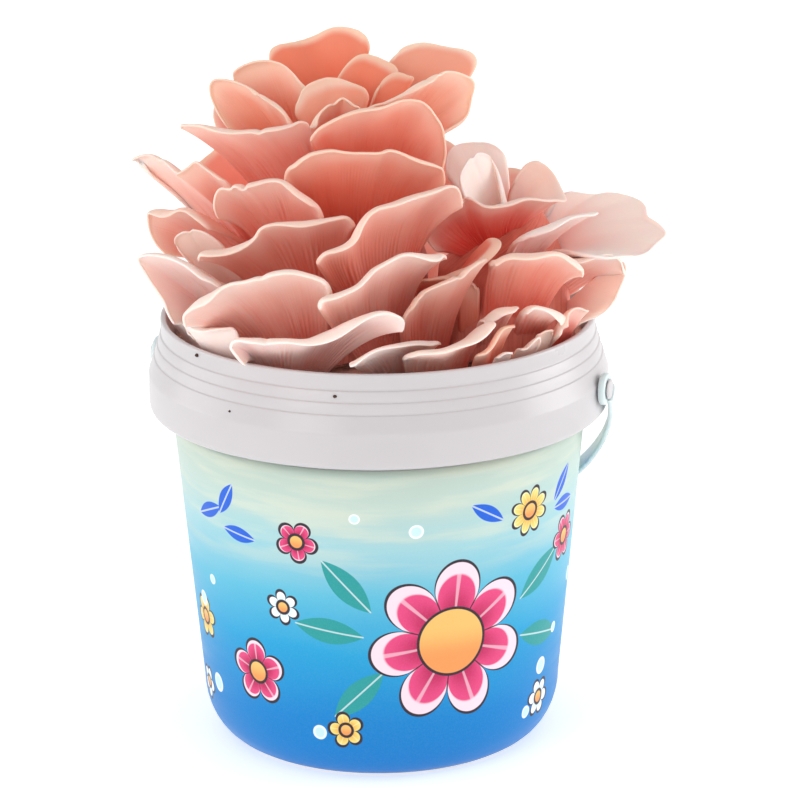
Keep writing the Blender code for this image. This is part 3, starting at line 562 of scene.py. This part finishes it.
def label_material(name, first, last):
    """The printed film between two places around: a sky to sea gradient, blossoms, sprigs and drops."""
    made, f = new_material(name)
    across, height = [part * 1000.0 for part in f.split(f.node("UVMap"))[:2]]
    drift = f.noise(f.vector(across * 0.012, height * 0.03), 1.0, 2.0)
    sky = f.ramp(height / LABEL_TOP + (drift - 0.5) * 0.12, LABEL_SKY)
    streak = f.noise(f.vector(across * 0.016, height * 0.13, 5.0), 1.0)
    glow = f.step(streak, 0.42, 0.66) * f.step(height, 82.0, 112.0)
    colour = f.mix(glow * 0.5, sky, CLOUD_CREAM)

    def away(cx, reach):
        return cx + reach < first or cx - reach > last

    def distance(x, y):
        return f.math("SQRT", x * x + y * y)

    def blossom(base, cx, cy, size, petals, turn, tints, heart_share):
        if away(cx, size):
            return base
        inner, outer, fringe = tints
        x, y = across - cx, height - cy
        far = distance(x, y)
        swing = abs(f.math("COSINE", (f.math("ARCTAN2", y, x) + turn) * (petals / 2)))
        edge = (f.math("POWER", swing, 0.55) * 0.45 + 0.55) * size
        share = far / edge
        petal = f.mix(f.step(share, 0.35, 0.8), inner, outer)
        petal = f.mix(f.step(share, 0.80, 0.84), petal, fringe)
        petal = f.mix(f.step(swing, 0.99, 0.998) * 0.5, petal, fringe)
        petal = f.mix(f.step(swing, 0.10, 0.02), petal, INK)
        inside = edge - far
        base = f.mix(f.step(inside, -0.15, 0.15), base, INK)
        base = f.mix(f.step(inside, 1.15, 1.45), base, petal)
        heart = size * heart_share - far
        base = f.mix(f.step(heart, -1.1, -0.8), base, INK)
        return f.mix(f.step(heart, 0.1, 0.4), base,
                     f.mix(f.step(y, -size * 0.2, size * 0.2), HEART_LOW, HEART_HIGH))

    def leaf(base, cx, cy, length, wide, turn, tint):
        if away(cx, length / 2):
            return base
        x, y = across - cx, height - cy
        u = x * math.cos(turn) + y * math.sin(turn)
        v = abs(y * math.cos(turn) - x * math.sin(turn))
        half = u / (length / 2)
        inside = (1.0 - half * half) * (wide / 2) - v
        rib = f.step(v, 0.45, 0.25) * 0.6
        return f.mix(f.step(inside, -0.15, 0.15), base, f.mix(rib, tint, RIB_PALE))

    def drop(base, cx, cy, radius):
        if away(cx, radius):
            return base
        far = distance(across - cx, height - cy)
        base = f.mix(f.step(far, radius + 0.15, radius - 0.15, 0.0, 0.9), base, DROP_EDGE)
        return f.mix(f.step(far, radius * 0.72, radius * 0.66, 0.0, 0.55), base, DROP_HEART)

    for cx in LARGE_BLOSSOMS:
        for dx, dy, turn in LARGE_LEAVES:
            colour = leaf(colour, cx + dx, LARGE_HEIGHT + dy, 30.0, 11.0, turn, LEAF_GREEN)
        colour = blossom(colour, cx, LARGE_HEIGHT, 36.0, 7, 0.3, ROSY, 0.40)
    for row in BLOSSOMS:
        colour = blossom(colour, *row, 0.30)
    for cx, cy, turn in SPRIGS:
        colour = leaf(colour, cx, cy, 18.0, 6.5, turn, SPRIG_BLUE)
    for row in DROPS:
        colour = drop(colour, *row)
    colour = f.mix(f.step(abs(across), 251.5, 252.5, 0.0, 0.35), colour, (0.8, 0.85, 0.85))
    speckle = f.noise(f.place(), 1500.0, 2.0)
    colour = f.mix(f.step(speckle, 0.35, 0.75, 0.0, 0.015), colour, (1.0, 1.0, 1.0))
    f.surface(colour, f.step(streak, 0.3, 0.7, 0.34, 0.42), 0.22)
    f.bump(speckle, 0.05, 0.0002)
    return made


def floor_material():
    made, f = new_material("floor_paint")
    cloud = f.noise(f.place(), 3.0, 2.0)
    f.surface(f.mix(cloud, (0.85, 0.85, 0.85), (0.87, 0.87, 0.87)), 0.8, 0.1)
    f.feed(f.shader.inputs["Emission Color"], (1.0, 1.0, 1.0))
    f.feed(f.shader.inputs["Emission Strength"], FLOOR_GLOW)
    return made


def build_mesh(name, points, faces, values=None):
    """A smooth mesh from points in millimetres and arrays of equal sided faces, with values per point."""
    mesh = bpy.data.meshes.new(name)
    points = np.asarray(points, np.float32) * MM
    mesh.vertices.add(len(points))
    mesh.vertices.foreach_set("co", points.ravel())
    loops = np.concatenate([np.asarray(group, np.int32).ravel() for group in faces])
    sizes = np.concatenate([np.full(len(group), group.shape[1], np.int32) for group in faces])
    mesh.loops.add(len(loops))
    mesh.loops.foreach_set("vertex_index", loops)
    mesh.polygons.add(len(sizes))
    mesh.polygons.foreach_set("loop_start", np.r_[0, np.cumsum(sizes)[:-1]].astype(np.int32))
    mesh.polygons.foreach_set("use_smooth", np.ones(len(sizes), bool))
    mesh.update(calc_edges=True)
    for key, numbers in (values or {}).items():
        layer = mesh.attributes.new(key, "FLOAT", "POINT")
        layer.data.foreach_set("value", np.asarray(numbers, np.float32).ravel())
    mesh.validate()
    made = bpy.data.objects.new(name, mesh)
    bpy.context.collection.objects.link(made)
    return made


def closed_rings(count, steps):
    """Point numbers of closed rings, and the quads between each ring and the next."""
    index = np.arange(count * steps).reshape(count, steps)
    after = np.roll(index, -1, axis=1)
    return index, np.stack([index[:-1], after[:-1], after[1:], index[1:]], -1).reshape(-1, 4)


def open_rows(count, columns):
    """Point numbers of open rows, and the quads between them, with the last row joined to the first."""
    index = np.arange(count * columns).reshape(count, columns)
    after = np.roll(index, -1, axis=0)
    return index, np.stack([index[:, :-1], index[:, 1:], after[:, 1:], after[:, :-1]], -1).reshape(-1, 4)


def around(steps):
    """Evenly spaced angles of a full turn, without its end."""
    return np.arange(steps) * 2 * math.pi / steps


def wave_noise(seed, count):
    """A smooth random function of one number, made of a few sine waves."""
    draw = np.random.default_rng(seed)
    rates = draw.uniform(0.5, 1.8, count)
    starts = draw.uniform(0, 2 * math.pi, count)
    sizes = draw.uniform(0.5, 1.0, count) / rates ** 0.5

    def value(x):
        return sum(a * np.sin(r * x + s) for a, r, s in zip(sizes, rates, starts)) / sizes.sum()

    return value


def smooth_curve(points, count):
    """Evenly spaced points on a smooth curve through the given ones, and the curve's length."""
    pts = np.array(points, float)
    pts = np.vstack([2 * pts[0] - pts[1], pts, 2 * pts[-1] - pts[-2]])
    dense = [pts[1]]
    for p0, p1, p2, p3 in zip(pts, pts[1:], pts[2:], pts[3:]):
        for t in np.linspace(0, 1, 13)[1:]:
            dense.append(0.5 * (2 * p1 + (p2 - p0) * t + (2 * p0 - 5 * p1 + 4 * p2 - p3) * t ** 2
                                + (3 * p1 - p0 - 3 * p2 + p3) * t ** 3))
    dense = np.array(dense)
    for _ in range(10):
        dense[1:-1] = (dense[:-2] + 2 * dense[1:-1] + dense[2:]) / 4
    run = np.r_[0, np.cumsum(np.linalg.norm(np.diff(dense, axis=0), axis=1))]
    where = np.linspace(0, run[-1], count)
    return np.stack([np.interp(where, run, dense[:, k]) for k in range(3)], 1), run[-1]


def unit(vectors):
    return vectors / np.maximum(np.linalg.norm(vectors, axis=-1, keepdims=True), 1e-9)


def smooth_step(value, start, end):
    share = np.clip((value - start) / (end - start), 0, 1)
    return share * share * (3 - 2 * share)


def make_cap(name, root, bow, half_stem, thick, lip, spread, seed):
    """One cap: a bowed fan with gills on one side and a thin margin that rolls over."""
    draw = np.random.default_rng(seed)
    root = np.array(root, float)
    length = smooth_curve(lip, 2)[1]
    gills = max(int(round(length / GILL_SPACING / 2)) * 2, 8)
    columns = gills * 3
    lip = smooth_curve(lip, columns + 1)[0]
    growth = unit(lip.mean(axis=0) - root)
    across = unit(lip[-1] - lip[0])
    across = unit(across - growth * (across @ growth))
    gill_side = np.cross(across, growth)
    side = np.linspace(-1, 1, columns + 1)
    along = (side + 1) / 2 * length
    stem = root + np.outer(side, across) * half_stem - growth * STEM_SINK
    slow, small, tiny, fold = (wave_noise(seed + k, 7) for k in (0, 500, 700, 900))
    calm = smooth_step(1 - np.abs(side), 0.0, 0.25)

    # how far the margin waves, where it is torn, and how it rolls
    margin = small(along / 3.6) * 0.6 + tiny(along / 1.1) * 0.10
    for _ in range(draw.poisson(length / 120)):
        notch = draw.uniform(0.25, 0.75) * length
        margin = margin - draw.uniform(0.8, 1.7) * np.exp(-((along - notch) / draw.uniform(1.0, 2.2)) ** 2)
    away = gill_side[1] > 0.15
    hand = -1 if away else 1
    turn = np.clip(42 + 40 * slow(along / 7.0 + 9), 8, 76) * (0.6 if away else 1.0)
    turn = np.radians(turn) * (0.5 + 0.5 * calm)
    curl = np.clip(4.8 + 2.8 * small(along / 8.0 + 4), 2.0, 7.6)

    # the lip line, drawn in by the roll's own depth and rounded at its ends
    lip = lip + gill_side * (slow(along / 5.5) * (0.6 + 0.009 * length))[:, None]
    out = unit(lip - stem)
    shift = margin * calm + 0.45 * thick - curl * np.sin(np.minimum(turn, math.pi / 2)) - thick * 0.22
    from_side = (1 - np.abs(side)) * length / 2
    shift = shift - 0.055 * length * (1 - np.clip(from_side / (0.09 * length), 0, 1)) ** 2
    shift = shift + np.interp(side, np.linspace(-1, 1, len(spread)), spread)
    lip = lip + out * shift[:, None]
    bend = (stem + lip) / 2 - gill_side * bow * 2
    reach = np.linalg.norm(lip - stem, axis=1)
    round_side = np.sqrt(np.clip(1 - (1 - np.clip(from_side / 1.6, 0, 1)) ** 2, 0.02, 1))

    def sheet(rise):
        """Middle surface of the cap for a column of rises, with its directions and half thickness."""
        u = rise[:, None, None]
        grid = (1 - u) ** 2 * stem + 2 * u * (1 - u) * bend + u ** 2 * lip
        outwards = unit(2 * (1 - u) * (bend - stem) + 2 * u * (lip - bend))
        normal = unit(np.cross(np.gradient(grid, axis=1), outwards))
        v = rise[:, None]
        swell = fold(along / 3.6 + 1.6 * v) * 0.6 * smooth_step(v, 0.15, 0.6)
        swell = swell * (1 - 0.6 * smooth_step(v, 0.8, 1.0))
        half = thick / 2 * (1.7 - 1.18 * v ** 0.8) * round_side
        return grid + normal * swell[:, :, None], outwards, normal, half, v * np.ones_like(along)

    # the gilled face and the plain upper side
    face, face_outwards, face_normal, face_half, face_rise = sheet(FACE_ROWS)
    back, _, back_normal, back_half, back_rise = sheet(BACK_ROWS)
    near = (1 - face_rise) * reach
    count = along / length * gills / 2 + fold(along / 9.0 + 5.0 * face_rise) * 0.12
    tips = draw.uniform(0.25, 0.7, gills // 2 + 3)
    start = tips[np.clip(count.astype(int), 0, len(tips) - 1)]
    first = (0.5 + 0.5 * np.cos(2 * math.pi * count)) ** 1.5
    second = (0.5 + 0.5 * np.cos(2 * math.pi * (count + 0.5))) ** 1.5
    second = second * smooth_step(face_rise, start, start + 0.15)
    patch = 0.55 + 0.45 * np.clip(slow(along / 5.0 + 2.0 * face_rise) * 1.6, -1, 1)
    fade = smooth_step(face_rise, 0.02, 0.1) * smooth_step(near, 2.0, 15.0) * round_side * patch
    ridge = (np.maximum(first, second) - 0.45) * fade
    under = face + face_normal * (face_half + ridge * GILL_HEIGHT)[:, :, None]
    over = back - back_normal * back_half[:, :, None]

    # the rolled margin and its rounded tip
    base, outwards, normal = face[-1], face_outwards[-1], face_normal[-1]
    rolled = normal * hand
    under_roll, over_roll = [], []
    for share in ROLL_SHARES:
        angle = (turn * share)[:, None]
        middle = base + outwards * curl[:, None] * np.sin(angle)
        middle = middle + rolled * curl[:, None] * (1 - np.cos(angle))
        onwards = outwards * np.cos(angle) + rolled * np.sin(angle)
        facing = normal * np.cos(angle) - outwards * np.sin(angle) * hand
        half = (face_half[-1] * (1 - 0.3 * share))[:, None]
        under_roll.append(middle + facing * half)
        over_roll.append(middle - facing * half)
    tip = [middle + facing * half * math.cos(a) + onwards * half * math.sin(a) for a in TIP_ANGLES]
    rows = np.concatenate([under, under_roll, tip, over_roll[::-1], over[::-1]])

    # what the material needs to know at each point
    flat = np.ones((1, columns + 1))
    rolls = np.array(ROLL_SHARES)[:, None] * curl * turn
    ends = len(rolls) * 2 + len(tip)
    values = {
        "rise": np.concatenate([face_rise, np.ones((ends, 1)) * flat, back_rise[::-1]]),
        "near": np.concatenate([near, -rolls, -np.ones((len(tip), 1)) * rolls[-1:], -rolls[::-1],
                                ((1 - back_rise) * reach)[::-1]]),
        "ridge": np.concatenate([ridge, np.zeros((ends + len(over), 1)) * flat]),
        "top": np.concatenate([np.zeros((len(under) + len(rolls), 1)), np.linspace(0, 1, len(tip))[:, None],
                               np.ones((len(rolls) + len(over), 1))]) * flat,
        "along": np.ones((len(rows), 1)) * along,
        "seed": np.full((len(rows), columns + 1), seed * 3.7),
    }
    index, quads = open_rows(len(rows), columns + 1)
    sides = np.array([index[:, 0], index[::-1, -1]])
    return build_mesh(name, rows.reshape(-1, 3), [quads, sides], values)


def swept(outline, angles):
    """Rings of points for an outline of (radius, height), at the given angles around Z."""
    return np.stack([outline[:, None, 0] * np.cos(angles), outline[:, None, 0] * np.sin(angles),
                     np.repeat(outline[:, 1][:, None], len(angles), 1)], -1)


def add_weld(made):
    made.modifiers.new("weld", "WELD").merge_threshold = WELD_REACH


def turned(name, outline, steps=TURN_STEPS):
    """Turns a closed outline of (radius, height) around Z. Points on the axis are shared."""
    outline = np.array(outline, float)
    index, quads = closed_rings(len(outline), steps)
    if outline[0, 0] > 0.01:
        last, first = index[-1], index[0]
        quads = np.concatenate([quads, np.stack([last, np.roll(last, -1), np.roll(first, -1), first], -1)])
    made = build_mesh(name, swept(outline, around(steps)).reshape(-1, 3), [quads])
    add_weld(made)
    return made


def settle(made):
    """Bakes an object's modifiers into its mesh."""
    graph = bpy.context.evaluated_depsgraph_get()
    mesh = bpy.data.meshes.new_from_object(made.evaluated_get(graph))
    made.modifiers.clear()
    made.data = mesh
    return made


def soften(made, width, segments, angle):
    """Rounds the edges that are sharper than an angle."""
    bevel = made.modifiers.new("bevel", "BEVEL")
    bevel.width = width * MM
    bevel.segments = segments
    bevel.limit_method = "ANGLE"
    bevel.angle_limit = math.radians(angle)


def corner(inset, steps):
    """The pail's rounded lower corner, moved inwards by an inset."""
    angles = [math.pi / 2 * k / steps for k in range(1, steps + 1)]
    start, high = BASE_RADIUS - inset, CORNER_HIGH - inset
    return [(start + CORNER_WIDE * math.sin(a), CORNER_HIGH - high * math.cos(a)) for a in angles]


def body_radius(height):
    start = BASE_RADIUS + CORNER_WIDE
    return start + (BODY_TOP_RADIUS - start) * (height - CORNER_HIGH) / (BODY_TOP - CORNER_HIGH)


def pivot_axis():
    turn = math.radians(PIVOT_TURN)
    return Vector((math.cos(turn), -math.sin(turn), 0))


def turned_on_pivot(name, outline, steps, side):
    """A turned body on the bail's axis, at one side of the pail."""
    made = settle(turned(name, outline, steps))
    turned_to = (pivot_axis() * side).to_track_quat("Z", "Y").to_matrix().to_4x4()
    made.data.transform(Matrix.Translation((0, 0, PIVOT_HEIGHT * MM)) @ turned_to)
    return made


def make_pail(plastic):
    outer = [(0, 0), (BASE_RADIUS, 0)] + corner(0, 12) + RIM_BAND
    for radius, height in SHOULDER_RIDGES:
        outer += [(radius, height), (radius - 0.55, height + 0.35), (radius - 0.62, height + 0.95)]
    inner = [(BODY_TOP_RADIUS - WALL, BODY_TOP)] + corner(WALL, 8)[::-1]
    inner += [(BASE_RADIUS - 2, PAIL_FLOOR), (0, PAIL_FLOOR)]
    pail = turned("pail_shell", outer + RIM_LIP + inner)
    soften(pail, 0.25, 2, 22.0)
    settle(pail)
    pail.data.materials.append(plastic)
    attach(pail, "kit")
    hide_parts("bucket")
    for side, name in ((-1, "stud_left"), (1, "stud_right")):
        stud = turned_on_pivot(name, STUD, 40, side)
        stud.data.materials.append(plastic)
        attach(stud, "kit")


def make_label():
    """The film around the wall, with its printed side mapped in metres around and up."""
    low = LABEL_GAP
    high = LABEL_GAP + LABEL_THICK
    heights = np.linspace(CORNER_HIGH, LABEL_TOP, 24)[1:]
    outer = corner(-high, 10) + [(body_radius(h) + high, h) for h in heights]
    inner = corner(-low, 10) + [(body_radius(h) + low, h) for h in heights]
    outline = np.array(outer[1:] + inner[1:][::-1])
    angles = -math.pi / 2 + np.linspace(-math.pi, math.pi, LABEL_STEPS + 1)
    quads = open_rows(len(outline), LABEL_STEPS + 1)[1]
    label = build_mesh("label_film", swept(outline, angles).reshape(-1, 3), [quads])
    layer = label.data.uv_layers.new(name="print")
    across = np.repeat(((angles + math.pi / 2) * LABEL_RADIUS * MM)[None, :], len(outline), 0).ravel()
    upwards = np.repeat((outline[:, 1] * MM)[:, None], LABEL_STEPS + 1, 1).ravel()
    loops = np.empty(len(label.data.loops), np.int32)
    label.data.loops.foreach_get("vertex_index", loops)
    layer.data.foreach_set("uv", np.stack([across[loops], upwards[loops]], -1).astype(np.float32).ravel())
    add_weld(label)
    settle(label)
    for name, first, last in zip(LABEL_NAMES, LABEL_EDGES, LABEL_EDGES[1:]):
        label.data.materials.append(label_material(name, first, last))
    for face in label.data.polygons:
        place = math.atan2(face.center.x, -face.center.y) * LABEL_RADIUS
        face.material_index = int(np.searchsorted(LABEL_EDGES[1:3], place))
    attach(label, "kit")
    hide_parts("label_wrap")


def make_soil(crumbs):
    """The block's crumbly top, with lumps, and its plain sides inside the pail."""
    draw = np.random.default_rng(SOIL_SEED)
    angles = around(SOIL_STEPS)
    x = SOIL_RINGS[:, None] * np.cos(angles)
    y = SOIL_RINGS[:, None] * np.sin(angles)
    z = np.full_like(x, SOIL_TOP)
    for _ in range(SOIL_LUMPS):
        cx, cy = draw.uniform(-84, 84, 2)
        size = draw.uniform(2.5, 9)
        z += draw.uniform(-0.9, 1.5) * np.exp(-((x - cx) ** 2 + (y - cy) ** 2) / (2 * size ** 2)) * 0.8
    z[-2:] -= np.array([[0.8], [2.2]])
    rings = np.concatenate([np.stack([x, y, z], -1), swept(SOIL_SIDES, angles)])
    index, quads = closed_rings(len(rings), SOIL_STEPS)
    soil = build_mesh("substrate_crumb", rings.reshape(-1, 3),
                      [quads[:, [0, 3, 2, 1]], index[:1], index[-1:, ::-1]])
    soil.data.materials.append(crumbs)
    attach(soil, "kit")
    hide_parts("substrate_block")


def make_bail(plastic):
    """The bail strip with rounded edges and an eye at each end."""
    across = np.array(pivot_axis())
    turn = math.radians(PIVOT_TURN)
    hang = math.radians(BAIL_HANG)
    down = np.array([math.sin(turn) * math.cos(hang), math.cos(turn) * math.cos(hang), -math.sin(hang)])
    flat = np.cross(across, down)
    angle = np.linspace(0, math.pi, BAIL_STEPS + 1)
    power = 2 / BAIL_BULGE
    wide = np.sign(np.cos(angle)) * np.abs(np.cos(angle)) ** power
    reach = np.clip(np.sin(angle), 0, 1) ** power
    middle = np.outer(wide * BAIL_HALF_WIDTH, across) + np.outer(reach * BAIL_REACH, down)
    outwards = np.cross(unit(np.gradient(middle, axis=0)), flat)
    rings = np.stack([middle + outwards * (o * BAIL_THICK / 2) + flat * (s * BAIL_WIDE / 2)
                      for o, s in BAIL_SECTION], 1)
    index, quads = closed_rings(len(rings), len(BAIL_SECTION))
    bail = build_mesh("bail_strip", rings.reshape(-1, 3), [quads, index[:1, ::-1], index[-1:]])
    bail.data.transform(Matrix.Translation((0, 0, PIVOT_HEIGHT * MM)))
    near = EYE_FROM_AXIS - EYE_THICK / 2
    far = EYE_FROM_AXIS + EYE_THICK / 2
    ring = [(EYE_HOLE + EYE_HOLE_ROUND, near), (EYE_RADIUS - EYE_ROUND, near), (EYE_RADIUS, near + EYE_ROUND),
            (EYE_RADIUS, far - EYE_ROUND), (EYE_RADIUS - EYE_ROUND, far), (EYE_HOLE + EYE_HOLE_ROUND, far),
            (EYE_HOLE, far - EYE_HOLE_ROUND), (EYE_HOLE, near + EYE_HOLE_ROUND)]
    hole_outline = [(0, near - 4), (HEAD_HOLE, near - 4), (HEAD_HOLE, far + 4), (0, far + 4)]
    for side in (-1, 1):
        hole = turned_on_pivot("hole", hole_outline, 32, side)
        cut = bail.modifiers.new("cut", "BOOLEAN")
        cut.operation = "DIFFERENCE"
        cut.solver = "EXACT"
        cut.object = hole
        bpy.context.view_layer.update()
        settle(bail)
        bpy.data.objects.remove(hole)
        eye = turned_on_pivot("bail_eye_left" if side < 0 else "bail_eye_right", ring, 48, side)
        eye.data.materials.append(plastic)
        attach(eye, "handle")
    bail.data.materials.clear()
    bail.data.materials.append(plastic)
    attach(bail, "handle")
    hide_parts("bail_handle")


def make_stalk(name, material):
    """A thick stalk with lumps and upright fibres."""
    rings = np.array(STALKS[name], float)
    heights = np.linspace(rings[0, 2] - 2.0, rings[-1, 2], 60)
    angle = around(STALK_STEPS)
    x, y, wide, deep = (np.interp(heights, rings[:, 2], rings[:, k])[:, None] for k in (0, 1, 3, 4))
    share = ((heights - heights[0]) / (heights[-1] - heights[0]))[:, None]
    fibre = wave_noise(len(name) + 40, 9)
    lump = wave_noise(len(name) + 41, 6)
    grow = 0.9 * fibre(angle * 9 + 1.5 * share) + 0.8 * lump(angle * 3 + 4 * share)
    grow = grow * (1 - 0.6 * smooth_step(share, 0.8, 1.0))
    points = np.stack([x + (wide + grow) * np.cos(angle), y + (deep + grow) * np.sin(angle),
                       np.repeat(heights[:, None], STALK_STEPS, 1)], -1)
    index, quads = closed_rings(len(heights), STALK_STEPS)
    values = {"rise": share * np.ones((1, STALK_STEPS)), "along": np.abs(angle - math.pi) * wide}
    stalk = build_mesh(name + "_fibres", points.reshape(-1, 3), [quads, index[:1, ::-1], index[-1:]], values)
    stalk.data.materials.append(material)
    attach(stalk, "kit")
    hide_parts(name)


def make_crumbs(material):
    """A few dark crumbs of substrate that stick to the rim."""
    draw = np.random.default_rng(CRUMB_SEED)
    for k, (turn, radius, height, size) in enumerate(CRUMBS):
        angle = math.radians(turn)
        bpy.ops.mesh.primitive_ico_sphere_add(subdivisions=3, radius=size * MM)
        crumb = bpy.context.object
        crumb.name = "rim_crumb_%d" % (k + 1)
        for vertex in crumb.data.vertices:
            vertex.co *= 1 + draw.uniform(-0.12, 0.12)
            vertex.co.x *= 1.3
        place = Vector((radius * math.cos(angle), radius * math.sin(angle), height)) * MM
        crumb.data.transform(Matrix.Translation(place))
        crumb.data.materials.append(material)
        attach(crumb, "kit")


def make_stage():
    """The pale floor, a soft even sky and the lamps."""
    floor = build_mesh("floor_sheet", FLOOR, [np.array([[0, 1, 2, 3]])])
    floor.data.materials.append(floor_material())
    world = bpy.data.worlds.new("studio")
    world.use_nodes = True
    back = world.node_tree.nodes["Background"]
    f = Formula(world.node_tree)
    upwards = f.split(f.node("TexCoord", (), "Generated"))[2]
    f.feed(back.inputs["Color"], (1.0, 1.0, 1.0))
    f.feed(back.inputs["Strength"], f.step(upwards, -0.1, 0.9, SKY_LOW, SKY_HIGH))
    bpy.context.scene.world = world
    for name, place, size, power, colour in LIGHTS:
        lamp = bpy.data.lights.new(name, "AREA")
        lamp.size = size
        lamp.energy = power
        lamp.color = colour
        made = bpy.data.objects.new(name, lamp)
        made.location = place
        made.rotation_euler = (Vector(LIGHT_AIM) - made.location).to_track_quat("-Z", "Y").to_euler()
        bpy.context.collection.objects.link(made)


def make_camera():
    cam = bpy.data.cameras.new("photo_camera")
    cam.sensor_width = SENSOR_WIDTH
    cam.lens = CAMERA_LENS
    cam.clip_start = CLIP_NEAR
    cam.clip_end = CLIP_FAR
    made = bpy.data.objects.new("photo_camera", cam)
    level = math.cos(CAMERA_PITCH)
    forward = Vector((math.sin(CAMERA_YAW) * level, math.cos(CAMERA_YAW) * level, -math.sin(CAMERA_PITCH)))
    right = Vector((math.cos(CAMERA_YAW), -math.sin(CAMERA_YAW), 0))
    up = right.cross(forward)
    c, s = math.cos(CAMERA_ROLL), math.sin(CAMERA_ROLL)
    right, up = right * c + up * s, up * c - right * s
    turn = Matrix((right, up, -forward)).transposed().to_4x4()
    made.matrix_world = Matrix.Translation(CAMERA_PLACE) @ turn
    bpy.context.collection.objects.link(made)
    bpy.context.scene.camera = made


make_camera()
make_stage()
tones = {tone: flesh(tone) for tone in TONES}
for number, (name, tone, root, bow, half_stem, thick, lip) in enumerate(CAPS):
    fan = make_cap(name + "_fan", root, bow, half_stem, thick, lip, SPREAD.get(name, NO_SPREAD), number + 1)
    fan.data.materials.append(tones[tone])
    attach(fan, "kit")
    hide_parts(name)
stem_skin = stalk_material()
for name in STALKS:
    make_stalk(name, stem_skin)
make_soil(soil_material("substrate_surface", 0.85))
make_crumbs(soil_material("dark_crumbs", 0.0))
make_pail(pail_material())
make_label()
make_bail(bail_material())
bpy.context.scene.view_settings.view_transform = "Standard"
